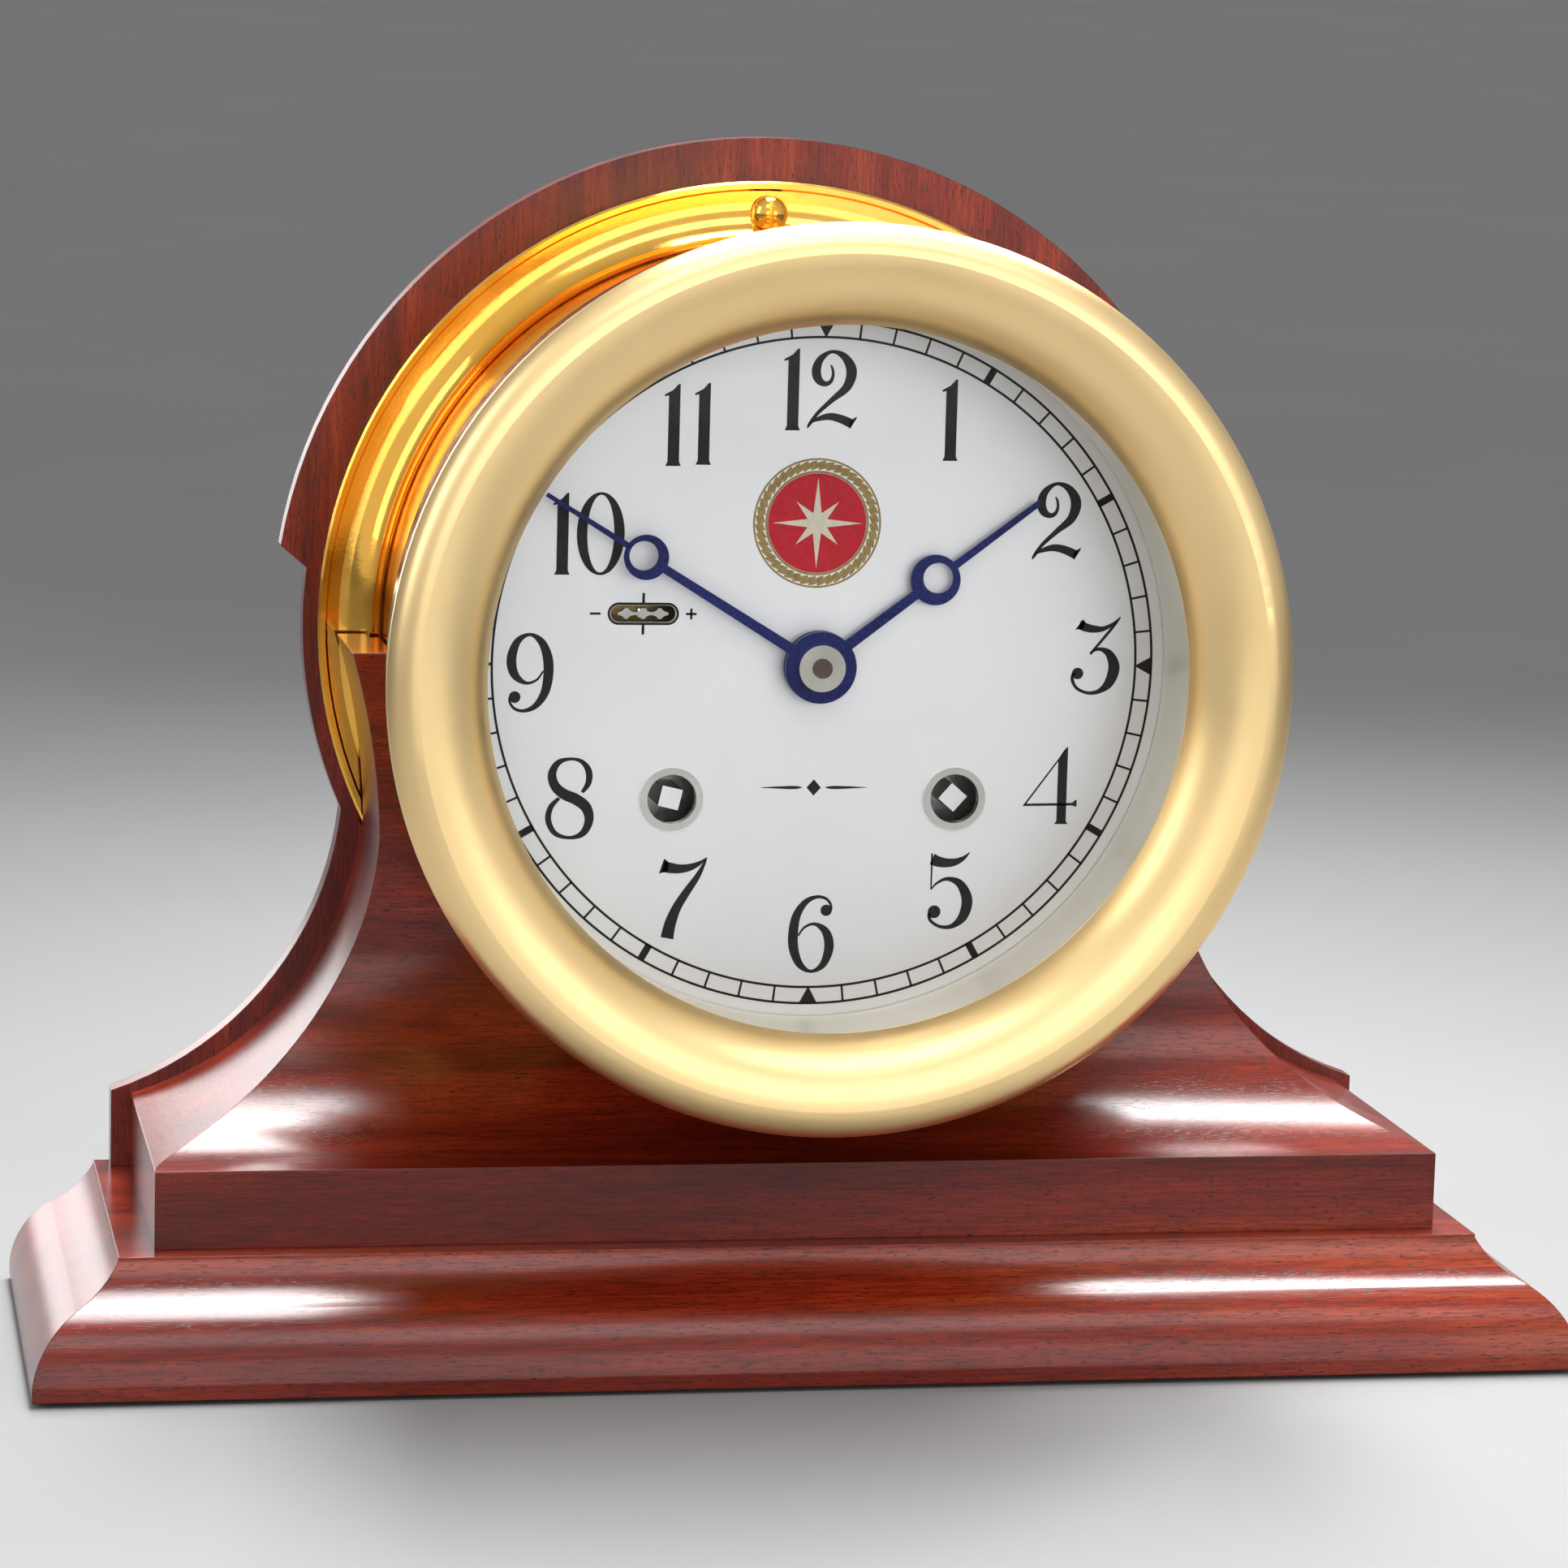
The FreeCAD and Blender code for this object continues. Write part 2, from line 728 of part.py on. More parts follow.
def make_cradle_block():
    body = new_body("cradle_block")
    half = [
        ("cradle_half_width", "plinth_top"),
        ("cradle_half_width", "cradle_step_top"),
        ("arc", "cradle_sweep_radius", 1),
        ("cradle_neck_out", "axis_height - cradle_neck_drop"),
        ("arc", "cradle_neck_radius", 1),
        ("cradle_arm_out", "axis_height - cradle_arm_drop"),
    ]
    pad(body, "panel_thickness", "cradle_depth - panel_thickness", mirrored(half))
    pocket(body, "XZ_Plane", circles=[("0", "axis_height", "saddle_radius")])
    pocket(body, "XZ_Plane", circles=[("0", "axis_height", "flange_recess_radius")],
           depth="flange_recess_depth")
    pocket(body, "XZ_Plane", circles=[("0", "axis_height", "cove_recess_radius")],
           depth="cove_recess_depth")
    heads = []
    for angle in LOWER_SCREW_ANGLES:
        x, z = on_circle("flange_screw_circle", angle)
        heads.append((x, "axis_height " + z, "flange_screw_head_radius + head_relief"))
    pocket(body, "XZ_Plane", circles=heads,
           depth="flange_screw_seat + flange_screw_head_height + head_relief")
    cove = [
        ("- cradle_depth", "cradle_step_top"),
        ("arc", "cradle_cove_radius", -1),
        ("- cradle_face_depth", "cradle_step_top + cradle_cove_radius"),
        ("- cradle_face_depth", "2*axis_height"),
        ("- 2*cradle_depth", "2*axis_height"),
        ("- 2*cradle_depth", "cradle_step_top"),
    ]
    pocket(body, "YZ_Plane", cove)
    body.Placement = Placement()
    body.setExpression("Placement.Base.y", "Sizes.rear_y")
    return body


def wood_screw(x, depth, extra):
    """Countersunk-style screw from under the plinth up into the cradle; extra widens it into its hole."""
    low = "felt_thickness + 0.2"
    under = low if extra == "0" else "felt_thickness"
    shank = upright("wood_screw_radius + " + extra, low, low + " + wood_screw_length", x, depth)
    head = upright("wood_screw_head_radius + " + extra, under, low + " + wood_screw_head_height", x, depth)
    return joined("wood_screw", [shank, head])


def make_stand():
    places = []
    for depth in ("wood_screw_front_depth", "wood_screw_back_depth"):
        for x in ("- wood_screw_spread", "0", "wood_screw_spread"):
            places.append((x, depth))
    screws = grouped("base_screws", [wood_screw(x, depth, "0") for x, depth in places])
    holes = []
    for x, depth in places:
        hole = wood_screw(x, depth, "wood_hole_clearance")
        hole.setExpression("Placement.Base.y", "Sizes.rear_y")
        holes.append(hole)
    holes_tool = joined("screw_holes", holes)
    for label, solid in (("plinth", make_plinth()), ("cradle_block", make_cradle_block())):
        solid.Label = label + "_solid"
        pieces.append(cut(label, solid, [holes_tool]))
    pieces.append(make_back_panel())
    screws.setExpression("Placement.Base.y", "Sizes.rear_y")
    pieces.append(screws)
    wide = "plinth_half_width + moulding_run - felt_inset"
    felt = block(negated(wide), wide, "felt_inset", "plinth_depth + moulding_run - felt_inset",
                 "0", "felt_thickness")
    finish(grouped("base_felt", [felt]), z="0")


# ---------------------------------------------------------------- case

def flange_screw(angle):
    """Round-headed brass screw, turned in one piece, with its slot upright."""
    x, z = on_circle("flange_screw_circle", angle)
    tip = "flange_screw_seat - flange_screw_length"
    top = "flange_screw_seat + flange_screw_head_height"
    blank = new_body("flange_screw_blank")
    revolve(blank, [
        (tip, "0"),
        (tip, "flange_screw_radius"),
        ("flange_screw_seat", "flange_screw_radius"),
        ("flange_screw_seat", "flange_screw_head_radius"),
        ("flange_screw_seat + flange_screw_rim", "flange_screw_head_radius"),
        ("arc", "flange_screw_dome", -1),
        (top, "0"),
    ])
    blank.setExpression("Placement.Base.x", bound(x))
    blank.setExpression("Placement.Base.z", bound(z))
    slot = block(x + " - 0.5*flange_screw_slot", x + " + 0.5*flange_screw_slot",
                 top + " - flange_screw_slot_depth", top + " + 1",
                 z + " - flange_screw_head_radius", z + " + flange_screw_head_radius")
    return cut("flange_screw", blank, [slot])


def make_case():
    body = new_body("case_turning")
    revolve(body, [
        ("panel_thickness", "0"),
        ("panel_thickness", "flange_radius - flange_edge_round"),
        ("panel_thickness + flange_edge_round", "flange_radius"),
        ("flange_lip_front - flange_edge_round", "flange_radius"),
        ("flange_lip_front", "flange_radius - flange_edge_round"),
        ("flange_lip_front", "flange_lip_inner"),
        ("flange_face", "flange_lip_inner - flange_edge_round"),
        ("flange_face", "case_cove_start"),
        ("arc", "case_cove_radius", 1),
        ("case_cove_front", "case_waist_radius"),
        ("case_waist_front", "case_waist_radius"),
        ("arc", "case_flare_radius", 1),
        ("case_ring_back", "case_ring_radius"),
        ("case_front - 1", "case_ring_radius"),
        ("case_front", "case_ring_radius - 1"),
        ("case_front", "case_ring_bore"),
        ("case_front - 1.2", "case_bore"),
        ("case_floor", "case_bore"),
        ("case_floor", "0"),
    ])
    holes = []
    for angle in FLANGE_SCREW_ANGLES:
        x, z = on_circle("flange_screw_circle", angle)
        holes.append(rod("flange_screw_radius + screw_hole_clearance", "0", "flange_screw_seat", x, z))
        holes.append(rod("flange_screw_head_radius + screw_hole_clearance", "flange_screw_seat",
                         "case_cove_front", x, z))
    holes.append(rod("catch_hole_radius", "case_front - catch_reach - 0.6", "case_front + 1", "- catch_x"))
    holes.append(upright("knuckle_notch_radius", "- knuckle_half_length - knuckle_gap",
                         "knuckle_half_length + knuckle_gap", "hinge_x", "hinge_depth"))
    finish(cut("case_body", body, holes))
    screws = grouped("case_screws", [flange_screw(angle) for angle in FLANGE_SCREW_ANGLES])
    finish(screws)


def make_panel_screw_holes(panel):
    """The case screws bite into the back panel."""
    holes = []
    for angle in FLANGE_SCREW_ANGLES:
        x, z = on_circle("flange_screw_circle", angle)
        holes.append(rod("flange_screw_radius + screw_hole_clearance",
                         "flange_screw_seat - flange_screw_length - 0.2", "panel_thickness + 1",
                         x, "axis_height " + z))
    tool = joined("panel_holes", holes)
    tool.setExpression("Placement.Base.y", "Sizes.rear_y")
    panel.Label = "back_panel_solid"
    return cut("back_panel", panel, [tool])


# ---------------------------------------------------------------- bezel and hinge

def make_bezel():
    body = new_body("bezel_turning")
    revolve(body, [
        ("bezel_back", "glass_seat_radius"),
        ("bezel_back", "bezel_skirt_radius - 0.4"),
        ("bezel_back + 0.4", "bezel_skirt_radius"),
        ("bezel_bead_back", "bezel_skirt_radius"),
        ("bezel_bead_back + 0.5", "bezel_radius - 0.3"),
        ("bezel_bead_back + 1", "bezel_radius"),
        ("bezel_bead_front", "bezel_radius"),
        ("arc", "bezel_outer_round", -1),
        ("bezel_front", "bezel_crest_radius"),
        ("arc", "bezel_inner_round", -1),
        ("bezel_lip_front", "bezel_opening"),
        ("bezel_lip_back", "bezel_opening"),
        ("bezel_lip_back", "glass_seat_radius"),
    ])
    notch = upright("knuckle_notch_radius", "- knuckle_half_length - knuckle_gap",
                    "knuckle_half_length + knuckle_gap", "hinge_x", "hinge_depth")
    socket = rod("catch_radius + 0.05", "bezel_back - 1", "bezel_back + 1.5", "- catch_x")
    finish(cut("bezel", body, [notch, socket]))
    turned("crystal", [
        ("glass_back", "0"),
        ("glass_back", "glass_radius"),
        ("glass_front", "glass_radius"),
        ("glass_front", "0"),
    ])
    turned("crystal_retainer", [
        ("retainer_back", "retainer_inner"),
        ("retainer_back", "glass_radius"),
        ("retainer_front", "glass_radius"),
        ("retainer_front", "retainer_inner"),
    ])
    catch = rod("catch_radius", "case_front - catch_reach", "bezel_back + 1.4", "- catch_x")
    finish(grouped("bezel_catch_pin", [catch]))


def make_hinge():
    outer = "knuckle_half_length"
    inner = "knuckle_middle_half + knuckle_gap"
    bore = upright("hinge_pin_bore", "- 2*knuckle_half_length", "2*knuckle_half_length",
                   "hinge_x", "hinge_depth")
    pin = upright("hinge_pin_radius", negated(outer), outer, "hinge_x", "hinge_depth")
    finish(grouped("hinge_pin", [pin]))
    low_knuckle = upright("knuckle_radius", negated(outer), negated(inner), "hinge_x", "hinge_depth")
    high_knuckle = upright("knuckle_radius", inner, outer, "hinge_x", "hinge_depth")
    back = "case_front - case_leaf_length"
    high_tab = block("case_leaf_x", "case_leaf_x + hinge_leaf_thickness", back,
                     "hinge_depth", inner, outer)
    low_tab = block("case_leaf_x", "case_leaf_x + hinge_leaf_thickness", back,
                    "hinge_depth", negated(outer), negated(inner))
    strap = block("case_leaf_x", "case_leaf_x + hinge_leaf_thickness", back,
                  "case_front - knuckle_notch_radius - 0.4", negated(outer), outer)
    leaf = joined("case_leaf_blank", [low_knuckle, high_knuckle, high_tab, low_tab, strap])
    finish(cut("case_hinge_leaf", leaf, [bore]))
    middle = "knuckle_middle_half"
    knuckle = upright("knuckle_radius", negated(middle), middle, "hinge_x", "hinge_depth")
    tab = block("bezel_leaf_x", "bezel_leaf_x + hinge_leaf_thickness", "hinge_depth",
                "bezel_back + bezel_leaf_length", negated(middle), middle)
    wide_tab = block("bezel_leaf_x", "bezel_leaf_x + hinge_leaf_thickness",
                     "bezel_back + knuckle_notch_radius + 0.4",
                     "bezel_back + bezel_leaf_length", negated(outer), outer)
    bezel_leaf = joined("bezel_leaf_blank", [knuckle, tab, wide_tab])
    finish(cut("bezel_hinge_leaf", bezel_leaf, [bore]))


# ---------------------------------------------------------------- dial

def make_dial():
    body = new_body("dial")
    pad(body, "dial_front - dial_thickness", "dial_thickness", circles=[("0", "0", "dial_radius")])
    holes = [("0", "0", "dial_centre_hole")]
    for x in ("- winding_x", "winding_x"):
        holes.append((x, "- winding_drop", "grommet_neck_radius + dial_hole_gap"))
    pocket(body, "XZ_Plane", circles=holes)
    straight = "slot_half_length - slot_half_width"
    low = "slot_rise - slot_half_width"
    high = "slot_rise + slot_half_width"
    left = "- slot_x - slot_half_length + slot_half_width"
    right = "- slot_x + " + straight
    pocket(body, "XZ_Plane", [
        (left, low),
        (right, low),
        ("arc", "slot_half_width + 0.001", -1),
        (right, high),
        (left, high),
        ("arc", "slot_half_width + 0.001", -1),
    ])
    finish(body)
    turned("reflector_ring", [
        ("reflector_back", "reflector_inner"),
        ("reflector_back", "reflector_inner + reflector_wall"),
        ("reflector_front - reflector_wall", "reflector_outer + reflector_wall"),
        ("reflector_front", "reflector_outer + reflector_wall"),
        ("reflector_front", "reflector_outer"),
    ])
    grommets = []
    for x in ("- winding_x", "winding_x"):
        neck = rod("grommet_neck_radius", "grommet_back", "grommet_front", x, "- winding_drop")
        flange = rod("grommet_flange_radius", "dial_front", "grommet_front", x, "- winding_drop")
        bore = rod("winding_hole_radius", "grommet_back - 1", "grommet_front + 1", x, "- winding_drop")
        grommets.append(cut("grommet", joined("grommet_blank", [neck, flange]), [bore]))
    finish(grouped("winding_hole_grommets", grommets))
    feet = []
    for angle in DIAL_FOOT_ANGLES:
        x, z = on_circle("dial_foot_circle", angle)
        feet.append(rod("dial_foot_radius", "front_plate_depth + plate_thickness",
                        "dial_front - dial_thickness", x, z))
    finish(grouped("dial_feet", feet))


def make_regulator_index():
    """Scalloped index on a short tail, nudged along the slot to make the clock gain or lose."""
    middle = "- slot_x"
    tail = block(middle + " - index_carrier_half", middle + " + index_carrier_half",
                 "index_carrier_back", "index_carrier_front",
                 "slot_rise - index_carrier_half", "slot_rise + index_carrier_half")
    nose = block(middle + " - index_half_length", middle + " + index_half_length",
                 "index_carrier_front", "index_front",
                 "slot_rise - index_half_height", "slot_rise + index_half_height")
    scallops = []
    lobe = 2.0 * size("index_half_length") / 3.0
    for step in (-1.5, -0.5, 0.5, 1.5):
        x = middle + " " + number(step * lobe)
        for z in ("slot_rise - index_scallop_rise", "slot_rise + index_scallop_rise"):
            scallops.append(rod("index_scallop_radius", "index_carrier_front", "index_front + 1", x, z))
    finish(cut("regulator_index", joined("index_blank", [tail, nose]), scallops))


# ---------------------------------------------------------------- hands

def make_hand(kind, bore):
    """Moon hand pointing at twelve, turned to its time. The ring's hole sits off centre towards the tip."""
    body = new_body(kind + "_hand")
    back = kind + "_hand_back"
    thickness = "hand_thickness"
    ring = kind + "_ring_distance"
    outer = kind + "_ring_outer"
    pad(body, back, thickness, circles=[("0", "0", "hand_boss_radius")])
    arm = [
        (kind + "_root_half", "0"),
        (kind + "_neck_half", ring),
        (kind + "_stem_half", ring + " + " + outer),
        (kind + "_tip_half", kind + "_hand_length"),
    ]
    pad(body, back, thickness, mirrored(arm))
    pad(body, back, thickness, circles=[("0", ring, outer)])
    ring_hole = ("0", ring + " + ring_offset", kind + "_ring_inner")
    pocket(body, "XZ_Plane", circles=[("0", "0", bore), ring_hole])
    finish(body, angle=size(kind + "_hand_angle"))


def make_hands():
    make_hand("hour", "hour_pipe_radius")
    make_hand("minute", "cannon_radius")
    hand_front = "minute_hand_back + hand_thickness"
    disc = rod("collet_radius", hand_front, "collet_front")
    bore = rod("hand_screw_radius + 0.1", hand_front + " - 1", "collet_front + 1")
    finish(cut("hand_collet", disc, [bore]))
    head = rod("hand_screw_radius", hand_front, "hand_screw_front")
    shank = rod("cannon_bore - 0.1", "minute_hand_back - 1.6", hand_front)
    slot = block("- 2*hand_screw_radius", "2*hand_screw_radius", "hand_screw_front - 0.5",
                 "hand_screw_front + 1", "- 0.5*hand_screw_slot", "0.5*hand_screw_slot")
    finish(cut("hand_screw", joined("hand_screw_blank", [head, shank]), [slot]))


# ---------------------------------------------------------------- movement

def make_plates():
    pivots = ("third", "fourth", "escape", "pallet", "balance", "strike_second", "fly")
    for label, back in (("movement_back_plate", "back_plate_depth"),
                        ("movement_front_plate", "front_plate_depth")):
        front = back + " + plate_thickness"
        disc = rod("plate_radius", back, front)
        holes = [rod("centre_arbor_radius + pivot_clearance", back + " - 1", front + " + 1")]
        for name in pivots:
            holes.append(rod("train_arbor_radius + pivot_clearance", back + " - 1", front + " + 1",
                             *place(name)))
        for name in ("time", "strike"):
            holes.append(rod("barrel_arbor_radius + pivot_clearance", back + " - 1", front + " + 1",
                             *place(name)))
        finish(cut(label, disc, holes))
    pillars = []
    screws = []
    for angle in PILLAR_ANGLES:
        x, z = on_circle("pillar_circle", angle)
        pillars.append(rod("pillar_radius", "back_plate_depth + plate_thickness",
                           "front_plate_depth", x, z))
        front = "front_plate_depth + plate_thickness"
        screws.append(rod("pillar_screw_radius", front, front + " + pillar_screw_height", x, z))
    finish(grouped("movement_pillars", pillars))
    finish(grouped("pillar_screws", screws))
    posts = []
    for angle in POST_ANGLES:
        x, z = on_circle("post_circle", angle)
        posts.append(rod("post_radius", "case_floor", "back_plate_depth", x, z))
    finish(grouped("movement_posts", posts))


def make_bell():
    turned("bell", [
        ("bell_back", "bell_hole_radius"),
        ("bell_back", "bell_radius - bell_shoulder_radius"),
        ("arc", "bell_shoulder_radius + 0.01", 1),
        ("bell_back + bell_shoulder_radius", "bell_radius"),
        ("bell_rim_front", "bell_radius"),
        ("bell_rim_front", "bell_radius - bell_wall"),
        ("bell_back + bell_shoulder_radius", "bell_radius - bell_wall"),
        ("arc", "bell_shoulder_radius - bell_wall + 0.01", -1),
        ("bell_back + bell_wall", "bell_radius - bell_shoulder_radius"),
        ("bell_back + bell_wall", "bell_hole_radius"),
    ])
    post = rod("bell_post_radius", "case_floor", "bell_back")
    stud = rod("bell_stud_radius", "bell_back", "bell_back + bell_wall + bell_nut_height + 2")
    finish(joined("bell_post", [post, stud]))
    nut = rod("bell_nut_radius", "bell_back + bell_wall", "bell_back + bell_wall + bell_nut_height")
    bore = rod("bell_stud_radius + 0.02", "bell_back", "bell_rim_front")
    finish(cut("bell_nut", nut, [bore]))


def make_hammer():
    """Arm on a stud behind the back plate, with its head just off the bell's rim."""
    body = new_body("bell_hammer")
    arm = [
        ("hammer_pivot_radius", "0"),
        ("0.8*hammer_pivot_radius", "hammer_length"),
    ]
    pad(body, "hammer_back", "hammer_thickness", mirrored(arm))
    pad(body, "hammer_back", "hammer_thickness", circles=[("0", "0", "2*hammer_pivot_radius")])
    pad(body, "hammer_back - 3", "hammer_thickness + 3",
        circles=[("0", "hammer_length", "hammer_head_radius")])
    pocket(body, "XZ_Plane", circles=[("0", "0", "hammer_pivot_radius + pivot_clearance")])
    x, z = place("hammer")
    finish(body, x, "axis_height " + z, angle=130.6)
    stud = rod("hammer_pivot_radius", "hammer_back - 1", "back_plate_depth", x, z)
    finish(grouped("hammer_stud", [stud]))


def make_barrel(label, where, great_back, mate):
    """Great wheel with its spring drum; the winding arbor runs through both."""
    back = size(great_back)
    front = size("barrel_front")
    great_front = back + size("great_thickness")
    arbor_hole = size("barrel_arbor_radius + pivot_clearance")
    wheel = gear_shape(66, size("great_module"), size("great_thickness"), back,
                       direction(where, mate), arbor_hole)
    drum = bar_shape(size("barrel_radius"), great_front, front)
    hollow = bar_shape(size("barrel_radius - barrel_wall"), great_front,
                       front - size("barrel_wall"))
    lid_hole = bar_shape(arbor_hole, great_front, front)
    shaped(label + "_barrel", wheel.fuse(drum.cut([hollow, lid_hole])), where)
    spring = spiral_shape(size("spring_inner"), size("spring_outer"), 9, size("spring_strip"),
                          great_front + 0.4, front - size("barrel_wall") - great_front - 0.8)
    shaped(label + "_mainspring", spring, where)


def make_winding(label, where, turn):
    """Winding arbor with its square, stopped at its own angle, and the ratchet wheel fixed on it."""
    x, z = place(where)
    shaft = rod("barrel_arbor_radius", "back_plate_depth + 0.4", "winding_square_back")
    half = "0.5*winding_square"
    square = block(negated(half), half, "winding_square_back", "winding_square_front", negated(half), half)
    finish(joined(label + "_winding_arbor", [shaft, square]), x, "axis_height " + z, turn)
    teeth = 24
    outer = size("ratchet_radius")
    depth = size("ratchet_tooth")
    back = size("ratchet_back")
    points = []
    for tooth in range(teeth):
        for radius, part in ((outer, 0.0), (outer - depth, 0.06), (outer - 0.5 * depth, 0.5)):
            angle = 2.0 * math.pi * (tooth + part) / teeth
            points.append(Vector(radius * math.cos(angle), -back, radius * math.sin(angle)))
    points.append(points[0])
    wheel = Part.Face(Part.makePolygon(points)).extrude(Vector(0, -size("ratchet_thickness"), 0))
    hole = bar_shape(size("barrel_arbor_radius"), back, back + size("ratchet_thickness"))
    shaped(label + "_ratchet_wheel", wheel.cut(hole), where)


def make_click(label, where):
    """Pawl that stops the ratchet running back, lying along its rim."""
    body = new_body(label + "_click")
    half = "0.5*click_width"
    pad(body, "ratchet_back", "ratchet_thickness", [
        (negated(half), "0"),
        (half, "0"),
        (half, "0.6*click_length"),
        (negated(half), "click_length"),
    ])
    pad(body, "ratchet_back", "ratchet_thickness", circles=[("0", "0", "click_width")])
    pocket(body, "XZ_Plane", circles=[("0", "0", "click_pivot_radius + pivot_clearance")])
    x, z = place(where)
    finish(body, x, "axis_height " + z, angle=0.0)
    return rod("click_pivot_radius", "front_plate_depth + plate_thickness",
               "ratchet_back + ratchet_thickness", x, z)


def train_piece(label, where, wheel=None, pinion=None, arbor="train_arbor_radius", front=None):
    """Wheel and pinion on their arbor. Each gear is (teeth, module, back, length, first tooth, windows)."""
    start = size("back_plate_depth + 0.5")
    stop = size("front_plate_depth + plate_thickness - 0.5") if front is None else size(front)
    shape = bar_shape(size(arbor), start, stop)
    for gear in (wheel, pinion):
        if gear:
            teeth, module, back, length, first_tooth, windows = gear
            shape = shape.fuse(gear_shape(teeth, size(module), size(length), size(back),
                                          first_tooth, 0.0, windows))
    return shaped(label, shape, where)


def gap_towards(teeth, where, mate):
    """First-tooth angle that leaves a gap, not a tooth, facing the mating wheel."""
    return direction(where, mate) + 180.0 / teeth


def make_going_train():
    train_piece(
        "centre_wheel", "centre",
        wheel=(80, "centre_module", "centre_wheel_back", "wheel_thickness",
               direction("centre", "third"), 5),
        pinion=(14, "great_module", "time_great_back - 0.2", "pinion_length",
                gap_towards(14, "centre", "time"), 0),
        arbor="centre_arbor_radius", front="cannon_back + 17")
    train_piece(
        "third_wheel", "third",
        wheel=(75, "third_module", "third_wheel_back", "wheel_thickness",
               direction("third", "fourth"), 5),
        pinion=(10, "centre_module", "centre_wheel_back - 0.4", "pinion_length",
                gap_towards(10, "third", "centre"), 0))
    train_piece(
        "fourth_wheel", "fourth",
        wheel=(80, "fourth_module", "fourth_wheel_back", "wheel_thickness",
               direction("fourth", "escape"), 5),
        pinion=(10, "third_module", "third_wheel_back - 0.4", "pinion_length",
                gap_towards(10, "fourth", "third"), 0))
    make_escape_wheel()
    make_pallet_lever()
    make_balance()


def make_escape_wheel():
    """Fifteen pointed teeth that all lean the same way."""
    teeth = 15
    outer = size("escape_radius")
    back = size("escape_wheel_back")
    points = []
    for tooth in range(teeth):
        for radius, part in ((outer, 0.0), (outer, 0.12), (0.7 * outer, 0.3), (0.7 * outer, 0.75)):
            angle = 2.0 * math.pi * (tooth + part) / teeth
            points.append(Vector(radius * math.cos(angle), -back, radius * math.sin(angle)))
    points.append(points[0])
    shape = Part.Face(Part.makePolygon(points)).extrude(Vector(0, -1.0, 0))
    pinion = gear_shape(8, size("fourth_module"), size("pinion_length"), size("fourth_wheel_back - 0.6"),
                        gap_towards(8, "escape", "fourth"), 0.0)
    arbor = bar_shape(size("train_arbor_radius"), size("back_plate_depth + 0.5"),
                      size("fourth_wheel_back - 0.6"))
    slim = bar_shape(0.8, size("fourth_wheel_back - 0.6"), size("escape_wheel_back"))
    top = bar_shape(size("train_arbor_radius"), size("escape_wheel_back"),
                    size("front_plate_depth + plate_thickness - 0.5"))
    shaped("escape_wheel", shape.fuse([pinion, arbor, slim, top]), "escape")


def make_pallet_lever():
    """Anchor bar beside the escape wheel and a fork that reaches towards the balance staff."""
    back = "escape_wheel_back"
    body = new_body("pallet_lever")
    pad(body, back, "1", circles=[("0", "0", "2*train_arbor_radius")])
    pad(body, back, "1", [("- 5.5", "- 0.9"), ("5.5", "- 0.9"), ("5.5", "0.9"), ("- 5.5", "0.9")])
    pad(body, back, "1", [("- 0.7", "0"), ("0.7", "0"), ("0.7", "10.6"), ("- 0.7", "10.6")])
    pad(body, "back_plate_depth + 0.5", "front_plate_depth + plate_thickness - back_plate_depth - 1",
        circles=[("0", "0", "train_arbor_radius")])
    x, z = place("pallet")
    finish(body, x, "axis_height " + z, angle=90.0 - direction("pallet", "balance"))


def make_balance():
    back = size("balance_back")
    thickness = size("balance_thickness")
    outer = size("balance_radius")
    rim = bar_shape(outer, back, back + thickness).cut(
        bar_shape(outer - size("balance_rim"), back, back + thickness))
    arm = Part.makeBox(2.0 * outer - 1.0, thickness, 1.6, Vector(0.5 - outer, -back - thickness, -0.8))
    staff = bar_shape(size("train_arbor_radius"), size("back_plate_depth + 0.5"),
                      size("front_plate_depth + plate_thickness - 0.5"))
    roller = bar_shape(size("roller_radius"), size("escape_wheel_back - 2"),
                       size("escape_wheel_back - 0.4"))
    shaped("balance_wheel", rim.fuse([arm, staff, roller]), "balance")
    spiral = spiral_shape(size("hairspring_inner"), size("hairspring_outer"), 8,
                          size("hairspring_strip"), size("hairspring_back"), size("hairspring_width"))
    shaped("hairspring", spiral, "balance")


def make_strike_train():
    train_piece(
        "strike_second_wheel", "strike_second",
        wheel=(70, "third_module", "strike_wheel_back", "wheel_thickness",
               direction("strike_second", "fly"), 5),
        pinion=(14, "great_module", "strike_great_back - 0.2", "pinion_length",
                gap_towards(14, "strike_second", "strike"), 0))
    pinion = gear_shape(10, size("third_module"), size("pinion_length"), size("strike_wheel_back - 0.4"),
                        gap_towards(10, "fly", "strike_second"), 0.0)
    arbor = bar_shape(size("train_arbor_radius"), size("back_plate_depth + 0.5"),
                      size("front_plate_depth + plate_thickness - 0.5"))
    blade = Part.makeBox(13.0, 9.0, 0.8, Vector(-6.5, -43.0, -0.4))
    shaped("fly", arbor.fuse([pinion, blade]), "fly")


